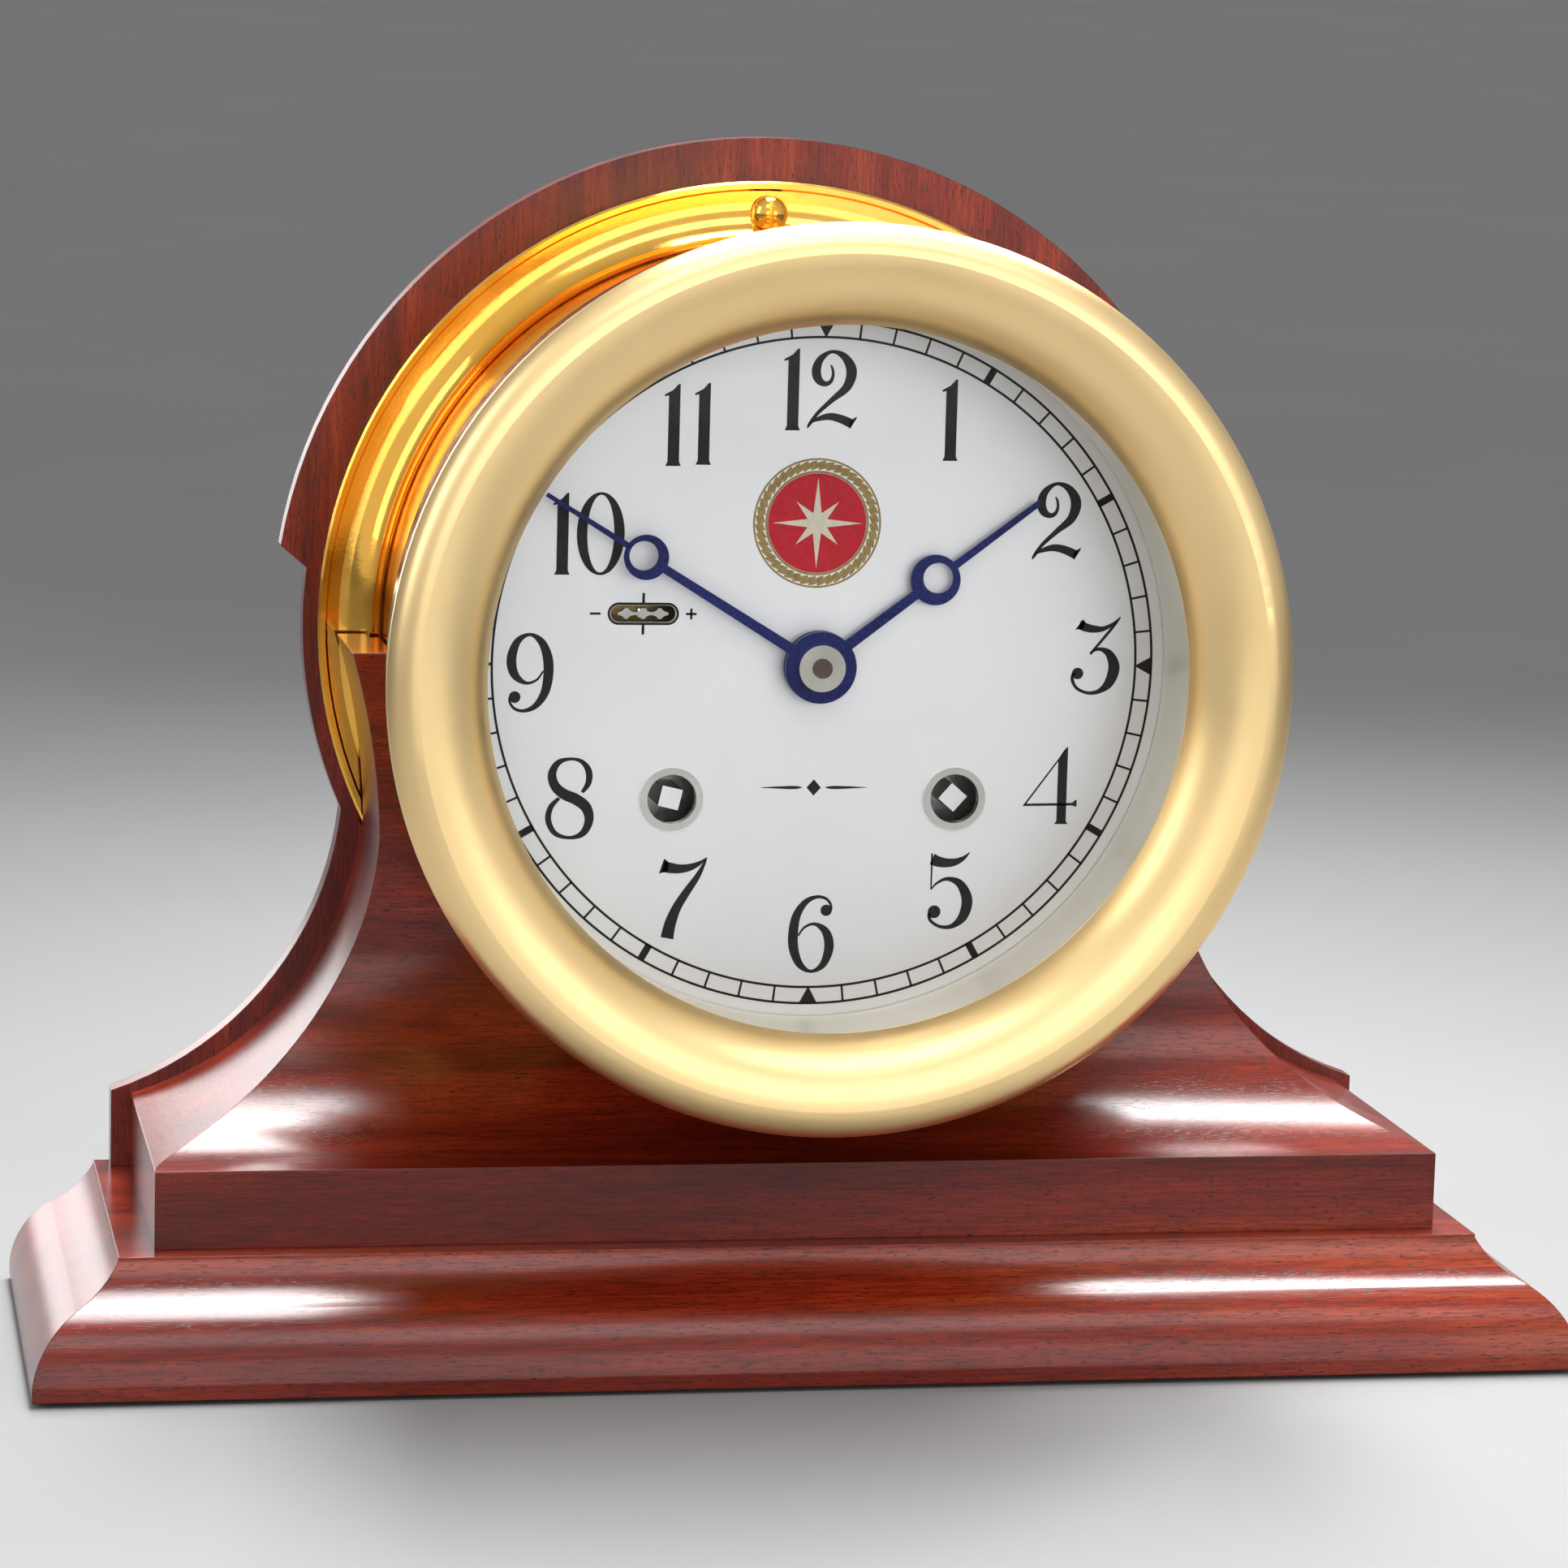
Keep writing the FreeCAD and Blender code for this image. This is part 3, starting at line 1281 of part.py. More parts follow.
def make_motion_work():
    """Cannon pinion, minute wheel and hour wheel: twelve to one between the hands."""
    distance = size("motion_distance")
    drive_module = 2.0 * distance / (12 + 36)
    hour_module = 2.0 * distance / (10 + 40)
    back = size("cannon_back")
    length = size("pinion_length")
    bore = size("cannon_bore")
    cannon = bar_shape(size("cannon_radius"), back, size("minute_hand_back + hand_thickness"))
    gear = gear_shape(12, drive_module, length, back, gap_towards(12, "centre", "minute_wheel"), 0.0)
    hole = bar_shape(bore, back, size("minute_hand_back + hand_thickness"))
    shaped("cannon_pinion", cannon.fuse(gear).cut(hole), "centre")
    wheel = gear_shape(36, drive_module, size("wheel_thickness"), size("minute_wheel_back"),
                       direction("minute_wheel", "centre"), 0.0, 4)
    pinion = gear_shape(10, hour_module, size("minute_pinion_front - minute_wheel_back"),
                        size("minute_wheel_back"), gap_towards(10, "minute_wheel", "centre"), 0.0)
    stud_hole = bar_shape(size("train_arbor_radius + pivot_clearance"),
                          size("minute_wheel_back"), size("minute_pinion_front"))
    shaped("minute_wheel", wheel.fuse(pinion).cut(stud_hole), "minute_wheel")
    pipe_back = size("hour_wheel_back")
    pipe = bar_shape(size("hour_pipe_radius"), pipe_back, size("hour_pipe_front"))
    hour_gear = gear_shape(40, hour_module, size("wheel_thickness"), pipe_back,
                           direction("centre", "minute_wheel"), 0.0, 4)
    pipe_hole = bar_shape(size("hour_pipe_bore"), pipe_back, size("hour_pipe_front"))
    shaped("hour_wheel", pipe.fuse(hour_gear).cut(pipe_hole), "centre")
    x, z = place("minute_wheel")
    return rod("train_arbor_radius", "front_plate_depth + plate_thickness",
               "minute_pinion_front + 0.6", x, z)


def make_movement():
    make_plates()
    make_bell()
    make_hammer()
    make_barrel("time", "time", "time_great_back", "centre")
    make_barrel("strike", "strike", "strike_great_back", "strike_second")
    make_winding("time", "time", TIME_SQUARE_ANGLE)
    make_winding("strike", "strike", STRIKE_SQUARE_ANGLE)
    studs = [
        make_click("time", "time_click"),
        make_click("strike", "strike_click"),
        make_motion_work(),
    ]
    finish(grouped("front_plate_studs", studs))
    make_going_train()
    make_strike_train()


# ---------------------------------------------------------------- build, check and write

make_stand()
panel_piece = pieces.pop([piece.Label for piece in pieces].index("back_panel"))
pieces.append(make_panel_screw_holes(panel_piece))
make_case()
make_bezel()
make_hinge()
make_dial()
make_regulator_index()
make_hands()
make_movement()
doc.recompute()

for item in doc.Objects:
    if "Invalid" in item.State or "Error" in item.State:
        raise RuntimeError("%s failed: %s" % (item.Label, item.State))
os.makedirs("parts", exist_ok=True)
for piece in pieces:
    shape = piece.Shape
    if shape.isNull() or not shape.isValid():
        raise RuntimeError("%s has no valid shape" % piece.Label)
    shape.exportStep("parts/%s.step" % piece.Label)
print("%d pieces written" % len(pieces))
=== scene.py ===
"""Looks of the ship's deck clock: materials, printed dial, stage, light and camera."""

import json
import math

import bpy
from mathutils import Matrix, Vector


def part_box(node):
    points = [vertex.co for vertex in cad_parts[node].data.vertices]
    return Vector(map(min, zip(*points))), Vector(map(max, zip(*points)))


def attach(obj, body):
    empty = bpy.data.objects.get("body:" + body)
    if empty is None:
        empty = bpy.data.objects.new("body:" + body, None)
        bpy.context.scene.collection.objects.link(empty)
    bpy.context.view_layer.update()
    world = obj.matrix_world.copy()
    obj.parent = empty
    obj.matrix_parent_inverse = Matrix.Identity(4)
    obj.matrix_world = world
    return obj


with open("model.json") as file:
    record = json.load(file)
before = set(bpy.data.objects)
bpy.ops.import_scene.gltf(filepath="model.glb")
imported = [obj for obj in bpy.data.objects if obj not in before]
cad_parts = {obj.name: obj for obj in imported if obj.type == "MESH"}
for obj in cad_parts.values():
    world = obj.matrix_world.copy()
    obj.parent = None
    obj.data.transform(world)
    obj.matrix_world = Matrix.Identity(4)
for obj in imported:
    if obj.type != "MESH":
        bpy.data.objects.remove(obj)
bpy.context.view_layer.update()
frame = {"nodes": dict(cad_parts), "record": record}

MM = 0.001
EVEN = (1.0, 1.0, 1.0)
SLOTS = {row["node"]: row["material_slot"] for row in frame["record"]["subparts"]}

# ---------------------------------------------------------------- places taken from the frame

dial_low, dial_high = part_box("dial")
DIAL_FRONT = dial_low.y
AXIS_X = (dial_low.x + dial_high.x) / 2
AXIS_Z = (dial_low.z + dial_high.z) / 2

# ---------------------------------------------------------------- node material helpers


class Nodes:
    """One material and the shader nodes that make it up."""

    def __init__(self, name):
        self.material = bpy.data.materials.new(name)
        self.material.use_nodes = True
        self.tree = self.material.node_tree
        self.shader = self.tree.nodes["Principled BSDF"]
        self.output = self.tree.nodes["Material Output"]
        self.place = self.tree.nodes.new("ShaderNodeTexCoord").outputs["Object"]

    def link(self, source, target):
        self.tree.links.new(source, target)

    def stretched(self, scale):
        """Object coordinates, scaled along each axis."""
        node = self.tree.nodes.new("ShaderNodeMapping")
        node.inputs["Scale"].default_value = scale
        self.link(self.place, node.inputs["Vector"])
        return node.outputs["Vector"]

    def noise(self, vector, scale=1.0, detail=4.0, roughness=0.55, distortion=0.0):
        node = self.tree.nodes.new("ShaderNodeTexNoise")
        node.inputs["Scale"].default_value = scale
        node.inputs["Detail"].default_value = detail
        node.inputs["Roughness"].default_value = roughness
        node.inputs["Distortion"].default_value = distortion
        self.link(vector, node.inputs["Vector"])
        return node.outputs["Fac"]

    def ramp(self, factor, stops):
        node = self.tree.nodes.new("ShaderNodeValToRGB")
        ramp = node.color_ramp
        while len(ramp.elements) < len(stops):
            ramp.elements.new(0.5)
        for element, (position, colour) in zip(ramp.elements, stops):
            element.position = position
            element.color = (*colour, 1.0)
        self.link(factor, node.inputs["Fac"])
        return node.outputs["Color"]

    def spread(self, factor, low, high, start=0.3, end=0.7):
        """Map a noise value between start and end to low and high."""
        node = self.tree.nodes.new("ShaderNodeMapRange")
        node.inputs["From Min"].default_value = start
        node.inputs["From Max"].default_value = end
        node.inputs["To Min"].default_value = low
        node.inputs["To Max"].default_value = high
        self.link(factor, node.inputs["Value"])
        return node.outputs["Result"]

    def mixed(self, factor, first, second):
        """Go from the first colour to the second as the factor rises."""
        node = self.tree.nodes.new("ShaderNodeMix")
        node.data_type = "RGBA"
        self.link(factor, node.inputs["Factor"])
        self.link(first, node.inputs["A"])
        self.link(second, node.inputs["B"])
        return node.outputs["Result"]

    def blended(self, kind, share, first, second):
        """Lay the second colour over the first by a blend of that kind."""
        node = self.tree.nodes.new("ShaderNodeMix")
        node.data_type = "RGBA"
        node.blend_type = kind
        node.inputs["Factor"].default_value = share
        self.link(first, node.inputs["A"])
        self.link(second, node.inputs["B"])
        return node.outputs["Result"]

    def bump(self, height, distance, strength=1.0, normal=None):
        node = self.tree.nodes.new("ShaderNodeBump")
        node.inputs["Strength"].default_value = strength
        node.inputs["Distance"].default_value = distance
        self.link(height, node.inputs["Height"])
        if normal:
            self.link(normal, node.inputs["Normal"])
        return node.outputs["Normal"]

    def rounded(self, radius):
        """Normals that turn gently over sharp edges."""
        node = self.tree.nodes.new("ShaderNodeBevel")
        node.samples = 4
        node.inputs["Radius"].default_value = radius
        return node.outputs["Normal"]

    def set(self, **values):
        """Set the shader's inputs, each named in lower case with underscores."""
        for name, value in values.items():
            self.shader.inputs[name.replace("_", " ").title().replace("Ior", "IOR")].default_value = value


def mahogany(name, grain, shift=0.0):
    """Lacquered red mahogany.

    grain marks the axis that the figure runs along, and shift picks another piece of wood.
    """
    nodes = Nodes(name)

    def along(slow, quick):
        return nodes.stretched([slow if axis else quick for axis in grain])

    figure = nodes.noise(along(4.0, 55.0), 1.0 + shift, 5.0, 0.62, 0.8)
    fibres = nodes.noise(along(90.0, 1700.0), 1.0 + shift, 4.0, 0.65)
    pores = nodes.noise(along(420.0, 3800.0), 1.0 + shift, 2.0, 0.5)
    tone = nodes.ramp(figure, (
        (0.27, (0.065, 0.0050, 0.0022)),
        (0.45, (0.140, 0.0105, 0.0036)),
        (0.58, (0.215, 0.0190, 0.0058)),
        (0.76, (0.345, 0.0560, 0.0130)),
    ))
    streaks = nodes.ramp(fibres, ((0.32, (0.46, 0.42, 0.42)), (0.64, (1.18, 1.16, 1.12))))
    streaked = nodes.blended("MULTIPLY", 0.85, tone, streaks)
    open_pore = nodes.spread(pores, 0.0, 1.0, 0.34, 0.40)
    pore_colour = nodes.ramp(pores, ((0.0, (0.030, 0.0045, 0.0025)), (1.0, (0.050, 0.0075, 0.0040))))
    nodes.link(nodes.mixed(open_pore, pore_colour, streaked), nodes.shader.inputs["Base Color"])
    nodes.link(nodes.spread(fibres, 0.30, 0.44), nodes.shader.inputs["Roughness"])
    edges = nodes.rounded(0.55 * MM)
    nodes.link(nodes.bump(open_pore, 0.03 * MM, 0.5, edges), nodes.shader.inputs["Normal"])
    lacquer = nodes.noise(nodes.stretched(EVEN), 420.0, 2.0)
    sunk = nodes.bump(open_pore, 0.014 * MM, 0.4, edges)
    nodes.link(nodes.bump(lacquer, 0.10 * MM, 0.10, sunk), nodes.shader.inputs["Coat Normal"])
    nodes.set(coat_weight=1.0, coat_roughness=0.20, coat_ior=1.44, specular_ior_level=0.0)
    return nodes.material


def metal(name, dark, light, rough, mottle=35.0, stretch=EVEN, dents=0.02):
    """Metal with a slow change of tone, uneven polish and a very fine surface grain."""
    nodes = Nodes(name)
    cloud = nodes.noise(nodes.stretched(stretch), mottle, 3.0)
    nodes.link(nodes.ramp(cloud, ((0.30, dark), (0.70, light))), nodes.shader.inputs["Base Color"])
    wear = nodes.noise(nodes.stretched(stretch), mottle * 4.0, 4.0)
    nodes.link(nodes.spread(wear, rough[0], rough[1]), nodes.shader.inputs["Roughness"])
    grain = nodes.noise(nodes.stretched(stretch), 900.0, 2.0)
    nodes.link(nodes.bump(grain, dents * MM, 0.4), nodes.shader.inputs["Normal"])
    nodes.set(metallic=1.0)
    return nodes.material


def silvered_brass(name):
    """Matt silvered dial metal with a soft sparkling grain."""
    nodes = Nodes(name)
    cloud = nodes.noise(nodes.stretched(EVEN), 16.0, 3.0)
    nodes.link(nodes.ramp(cloud, ((0.30, (0.76, 0.755, 0.78)), (0.70, (0.83, 0.825, 0.84)))),
               nodes.shader.inputs["Base Color"])
    grain = nodes.noise(nodes.stretched(EVEN), 3800.0, 2.0)
    nodes.link(nodes.spread(grain, 0.36, 0.52), nodes.shader.inputs["Roughness"])
    nodes.link(nodes.bump(grain, 0.02 * MM, 0.35), nodes.shader.inputs["Normal"])
    nodes.set(metallic=0.62)
    return nodes.material


def enamel(name, dark, light, rough=(0.28, 0.42)):
    """Printed or painted colour with a fine uneven gloss."""
    nodes = Nodes(name)
    cloud = nodes.noise(nodes.stretched(EVEN), 900.0, 3.0)
    nodes.link(nodes.ramp(cloud, ((0.30, dark), (0.70, light))), nodes.shader.inputs["Base Color"])
    nodes.link(nodes.spread(cloud, rough[0], rough[1]), nodes.shader.inputs["Roughness"])
    nodes.link(nodes.bump(cloud, 0.01 * MM, 0.3), nodes.shader.inputs["Normal"])
    nodes.set(specular_ior_level=0.25)
    return nodes.material


def blued_steel(name):
    """Heat-blued, polished steel: deep navy with a slight violet drift."""
    nodes = Nodes(name)
    cloud = nodes.noise(nodes.stretched(EVEN), 60.0, 3.0)
    nodes.link(nodes.ramp(cloud, ((0.30, (0.008, 0.012, 0.085)), (0.70, (0.014, 0.020, 0.135)))),
               nodes.shader.inputs["Base Color"])
    grain = nodes.noise(nodes.stretched(EVEN), 1500.0, 2.0)
    nodes.link(nodes.spread(grain, 0.22, 0.32), nodes.shader.inputs["Roughness"])
    nodes.link(nodes.bump(grain, 0.01 * MM, 0.3), nodes.shader.inputs["Normal"])
    nodes.set(metallic=0.35, specular_ior_level=0.3)
    return nodes.material


def felt(name):
    """Napped green baize."""
    nodes = Nodes(name)
    nap = nodes.noise(nodes.stretched(EVEN), 1300.0, 6.0, 0.7)
    nodes.link(nodes.ramp(nap, ((0.25, (0.008, 0.035, 0.018)), (0.75, (0.030, 0.105, 0.055)))),
               nodes.shader.inputs["Base Color"])
    nodes.link(nodes.spread(nap, 0.85, 1.0), nodes.shader.inputs["Roughness"])
    nodes.link(nodes.bump(nap, 0.25 * MM, 0.8), nodes.shader.inputs["Normal"])
    nodes.set(sheen_weight=0.6, sheen_roughness=0.5)
    return nodes.material


def clear_glass(name):
    """Flat watch glass: see-through, with a mirror gloss that grows towards grazing angles."""
    nodes = Nodes(name)
    tree = nodes.tree
    tree.nodes.remove(nodes.shader)
    through = tree.nodes.new("ShaderNodeBsdfTransparent")
    through.inputs["Color"].default_value = (0.985, 0.99, 0.988, 1.0)
    gloss = tree.nodes.new("ShaderNodeBsdfGlossy")
    smear = nodes.noise(nodes.stretched(EVEN), 45.0, 4.0)
    nodes.link(nodes.spread(smear, 0.0, 0.03), gloss.inputs["Roughness"])
    tint = nodes.ramp(smear, ((0.3, (0.96, 0.97, 0.97)), (0.7, (1.0, 1.0, 1.0))))
    nodes.link(tint, gloss.inputs["Color"])
    edge = tree.nodes.new("ShaderNodeFresnel")
    edge.inputs["IOR"].default_value = 1.12
    pane = tree.nodes.new("ShaderNodeMixShader")
    nodes.link(edge.outputs["Fac"], pane.inputs["Fac"])
    nodes.link(through.outputs["BSDF"], pane.inputs[1])
    nodes.link(gloss.outputs["BSDF"], pane.inputs[2])
    nodes.link(pane.outputs["Shader"], nodes.output.inputs["Surface"])
    return nodes.material


ALONG_X = (1, 0, 0)
ALONG_Z = (0, 0, 1)
MATERIALS = {
    "mahogany": mahogany("mahogany_long", ALONG_X),
    "felt": felt("green_felt"),
    "brass": metal("polished_brass", (0.90, 0.47, 0.075), (0.95, 0.55, 0.12), (0.08, 0.15)),
    "plain_brass": metal("movement_brass", (0.66, 0.47, 0.19), (0.78, 0.58, 0.27), (0.22, 0.34),
                         stretch=(1.0, 1.0, 8.0)),
    "bell_metal": metal("bell_metal", (0.62, 0.44, 0.19), (0.72, 0.54, 0.27), (0.18, 0.30)),
    "silvered": silvered_brass("silvered_brass"),
    "blued": blued_steel("blued_steel"),
    "steel": metal("ground_steel", (0.48, 0.48, 0.49), (0.60, 0.60, 0.61), (0.20, 0.34)),
    "nickel": metal("nickel_plate", (0.70, 0.67, 0.58), (0.80, 0.77, 0.70), (0.12, 0.22)),
    "glass": clear_glass("clear_glass"),
}
NODE_MATERIALS = {
    "back_panel": mahogany("mahogany_upright", ALONG_Z, shift=0.35),
    "cradle_block": mahogany("mahogany_block", ALONG_X, shift=0.15),
    "bezel": metal("bezel_brass", (0.95, 0.69, 0.33), (0.97, 0.73, 0.37), (0.32, 0.38),
                   mottle=12.0, dents=0.004),
    "reflector_ring": metal("reflector_metal", (0.92, 0.87, 0.75), (0.97, 0.93, 0.82), (0.50, 0.60)),
    "hand_screw": metal("dark_screw", (0.10, 0.075, 0.060), (0.17, 0.13, 0.11), (0.25, 0.35)),
    "winding_hole_grommets": metal("bright_grommet", (0.78, 0.76, 0.70), (0.88, 0.86, 0.80),
                                   (0.10, 0.18)),
    "time_winding_arbor": metal("bright_square", (0.74, 0.73, 0.71), (0.88, 0.87, 0.86),
                                (0.26, 0.36)),
}
NODE_MATERIALS["strike_winding_arbor"] = NODE_MATERIALS["time_winding_arbor"]
NODE_MATERIALS["regulator_index"] = NODE_MATERIALS["winding_hole_grommets"]


def dress(node, material):
    """Give a CAD node one material without touching its mesh's shape."""
    mesh = frame["nodes"][node].data
    mesh.materials.clear()
    mesh.materials.append(material)
    for polygon in mesh.polygons:
        polygon.material_index = 0


def dress_all():
    for node in frame["nodes"]:
        dress(node, NODE_MATERIALS.get(node, MATERIALS[SLOTS[node]]))


# ---------------------------------------------------------------- flat printed shapes

PRINT_THICKNESS = 0.06 * MM
PRINT_SINK = 0.02 * MM

# From here to the stage, sizes without MM are already in millimetres.
HAIRLINE_HALF = 0.03


class Print:
    """Thin raised print on the dial. Points are millimetres right of and above the dial's centre."""

    def __init__(self):
        self.points = []
        self.faces = []

    def prism(self, front, faces):
        """Add a closed slab: front holds 2-D points, and faces are the faces of its front."""
        start = len(self.points)
        count = len(front)
        back_y = DIAL_FRONT + PRINT_SINK
        front_y = DIAL_FRONT - PRINT_THICKNESS
        for y in (front_y, back_y):
            for x, z in front:
                self.points.append((AXIS_X + x * MM, y, AXIS_Z + z * MM))
        for face in faces:
            self.faces.append([start + i for i in face])
            self.faces.append([start + count + i for i in reversed(face)])
        edges = {}
        for face in faces:
            for a, b in zip(face, face[1:] + face[:1]):
                edges[(a, b)] = True
        for a, b in edges:
            if (b, a) not in edges:
                self.faces.append([start + b, start + a, start + count + a, start + count + b])

    def polygon(self, outline):
        self.prism(outline, [list(range(len(outline)))])

    def ring(self, outer, inner):
        """Add the area between two closed outlines that have the same number of points."""
        count = len(outer)
        quads = []
        for i in range(count):
            j = (i + 1) % count
            quads.append([i, j, count + j, count + i])
        self.prism(outer + inner, quads)

    def stroke(self, path, steps=10):
        """Add a pen stroke through (x, z, half width) points, as a smooth curve."""
        left = []
        right = []
        for x, z, width, dx, dz in smooth(path, steps):
            left.append((x - dz * width, z + dx * width))
            right.append((x + dz * width, z - dx * width))
        count = len(left)
        quads = [[i, i + 1, count + i + 1, count + i] for i in range(count - 1)]
        self.prism(left + right, quads)

    def disc(self, x, z, radius, count=40):
        self.polygon(circle(x, z, radius, radius, count))

    def build(self, name, material, body):
        """Make the print one object that rides a body of the clock."""
        mesh = bpy.data.meshes.new(name)
        mesh.from_pydata(self.points, [], self.faces)
        mesh.validate()
        piece = bpy.data.objects.new(name, mesh)
        bpy.context.scene.collection.objects.link(piece)
        mesh.materials.append(material)
        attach(piece, body)
        return piece


def circle(x, z, across, up, count=96):
    turns = [2 * math.pi * i / count for i in range(count)]
    return [(x + across * math.cos(t), z + up * math.sin(t)) for t in turns]


def smooth(path, steps):
    """Points on a Catmull-Rom curve through path, each with its half width and unit direction."""
    ends = [path[0]] + list(path) + [path[-1]]
    line = []
    for i in range(1, len(ends) - 2):
        for k in range(steps):
            t = k / steps
            line.append(tuple(
                0.5 * (2 * b + (c - a) * t + (2 * a - 5 * b + 4 * c - d) * t * t
                       + (3 * b - a - 3 * c + d) * t ** 3)
                for a, b, c, d in zip(ends[i - 1], ends[i], ends[i + 1], ends[i + 2])
            ))
    line.append(tuple(path[-1]))
    result = []
    for i, (x, z, width) in enumerate(line):
        before = line[max(i - 1, 0)]
        after = line[min(i + 1, len(line) - 1)]
        dx = after[0] - before[0]
        dz = after[1] - before[1]
        length = math.hypot(dx, dz)
        result.append((x, z, max(width, HAIRLINE_HALF), dx / length, dz / length))
    return result


def moved(outline, x, z):
    return [(a + x, b + z) for a, b in outline]


def moved_path(path, x, z):
    return [(a + x, b + z, width) for a, b, width in path]


# ---------------------------------------------------------------- figures of the hours

# Each figure is 16 to 17 mm high and is drawn about its own middle, in millimetres.


def figure_0(ink, x, z):
    ink.ring(circle(x, z, 4.9, 8.45), circle(x, z, 2.75, 7.9))


def figure_1(ink, x, z):
    stem = [(1.2, 8.7), (0.75, 8.6), (-0.3, 7.4), (-2.0, 6.5), (-2.0, 6.1), (-1.16, 6.3), (-1.16, -7.1),
            (-1.6, -8.0), (1.6, -8.0), (1.2, -7.1)]
    ink.polygon(moved(stem, x, z))


def figure_2(ink, x, z):
    bowl = [(-0.9, 5.0, 0.14), (-0.5, 4.2, 0.26), (-0.35, 2.9, 0.3), (-0.85, 1.6, 0.4), (-2.0, 1.15, 0.55),
            (-3.35, 2.0, 0.85), (-3.85, 3.9, 0.95), (-3.0, 6.2, 0.7), (-0.7, 7.7, 0.34), (1.9, 6.7, 0.75),
            (3.45, 3.9, 1.1), (2.6, 0.6, 0.9), (-0.4, -2.1, 0.55), (-3.3, -4.8, 0.38), (-4.9, -7.0, 0.34),
            (-5.4, -7.9, 0.12)]
    bar = [(-4.9, -6.9, 0.12), (-3.4, -6.1, 0.42), (-0.9, -5.5, 0.72), (1.6, -6.0, 0.86), (3.9, -7.0, 0.95)]
    ink.stroke(moved_path(bowl, x, z))
    ink.stroke(moved_path(bar, x, z))
    tail = [(3.2, -6.5), (4.35, -5.7), (4.85, -5.45), (4.75, -5.9), (3.45, -8.0), (3.2, -7.6)]
    ink.polygon(moved(tail, x, z))


def figure_3(ink, x, z):
    bar = [(-3.75, 6.9, 0.95), (-2.2, 6.25, 0.88), (-0.4, 5.95, 0.75), (1.4, 6.05, 0.5), (3.3, 7.0, 0.3),
           (5.0, 8.5, 0.08)]
    slope = [(4.95, 8.45, 0.12), (4.0, 7.2, 0.28), (2.3, 5.0, 0.3), (-1.2, 0.75, 0.26)]
    bowl = [(-1.2, 0.7, 0.12), (-0.4, 1.5, 0.26), (1.1, 1.75, 0.42), (2.9, 0.7, 0.85), (3.95, -2.0, 1.2),
            (3.0, -5.2, 1.0), (0.9, -7.0, 0.5), (-1.5, -7.35, 0.34), (-3.8, -6.4, 0.32),
            (-4.85, -4.6, 0.36), (-4.5, -3.2, 0.4)]
    ink.polygon(moved([(-2.9, 8.0), (-4.6, 5.8), (-4.1, 5.9), (-3.0, 5.9), (-2.4, 7.2)], x, z))
    ink.stroke(moved_path(bar, x, z))
    ink.stroke(moved_path(slope, x, z))
    ink.stroke(moved_path(bowl, x, z))
    ink.disc(x - 3.75, z - 3.3, 1.2)


def figure_4(ink, x, z):
    stem = [(3.3, 8.5), (3.3, -7.1), (3.75, -7.75), (0.85, -7.75), (1.3, -7.1), (1.3, 5.9), (2.6, 7.9)]
    ink.polygon(moved(stem, x, z))
    ink.polygon(moved([(3.2, 8.5), (-6.0, -3.95), (-5.4, -3.75), (2.4, 6.9)], x, z))
    ink.polygon(moved([(-6.0, -3.95), (-5.4, -3.45), (4.6, -3.3), (5.1, -2.75), (5.5, -2.65), (5.5, -4.1),
                       (5.1, -4.05), (4.6, -3.85)], x, z))


def figure_5(ink, x, z):
    flag = [(-3.9, 6.8, 1.2), (-2.6, 6.25, 1.1), (-0.9, 5.98, 0.95), (1.0, 6.15, 0.75), (2.8, 7.0, 0.42),
            (4.05, 8.2, 0.06)]
    ink.stroke(moved_path(flag, x, z))
    ink.polygon(moved([(-4.15, 8.1), (-4.1, 0.3), (-3.8, 0.5), (-3.75, 7.8)], x, z))
    bowl = [(-3.95, 0.4, 0.12), (-2.7, 1.75, 0.24), (-0.5, 2.6, 0.42), (2.2, 1.5, 0.85), (3.75, -1.8, 1.15),
            (3.0, -5.3, 1.0), (0.7, -7.35, 0.5), (-1.9, -7.4, 0.34), (-3.9, -6.1, 0.34), (-4.2, -4.6, 0.38)]
    ink.stroke(moved_path(bowl, x, z))
    ink.disc(x - 3.15, z - 4.3, 1.35)


SIX_STROKE = [(3.95, 5.2, 0.2), (3.75, 6.4, 0.26), (2.7, 7.6, 0.3), (0.8, 7.95, 0.36), (-1.5, 6.9, 0.62),
              (-3.3, 4.2, 0.88), (-3.95, 0.6, 1.02), (-3.75, -3.0, 1.0), (-2.4, -6.2, 0.75),
              (0.0, -7.65, 0.34), (2.5, -6.2, 0.72), (3.65, -2.6, 1.0), (2.9, 0.6, 0.85),
              (0.6, 2.25, 0.36), (-1.6, 1.6, 0.24), (-2.9, -0.2, 0.18)]


def figure_6(ink, x, z, turned=1.0):
    """A six, or a nine where turned is -1."""
    ink.stroke([(x + turned * a, z + turned * b, width) for a, b, width in SIX_STROKE])
    ink.disc(x + turned * 2.85, z + turned * 5.15, 1.2)


def figure_7(ink, x, z):
    bar = [(-4.1, 6.9, 1.15), (-2.6, 6.55, 1.1), (-0.6, 6.35, 0.92), (1.6, 6.7, 0.72), (3.6, 7.6, 0.4),
           (5.0, 8.7, 0.06)]
    stem = [(4.95, 8.6, 0.1), (4.3, 7.1, 0.34), (3.0, 4.6, 0.62), (0.9, 1.5, 0.82), (-1.0, -1.6, 0.96),
            (-2.3, -4.9, 1.18), (-2.95, -8.1, 1.35)]
    ink.polygon(moved([(-3.9, 8.5), (-4.95, 5.35), (-4.5, 5.5), (-3.0, 5.8), (-3.1, 7.9)], x, z))
    ink.stroke(moved_path(bar, x, z))
    ink.stroke(moved_path(stem, x, z))


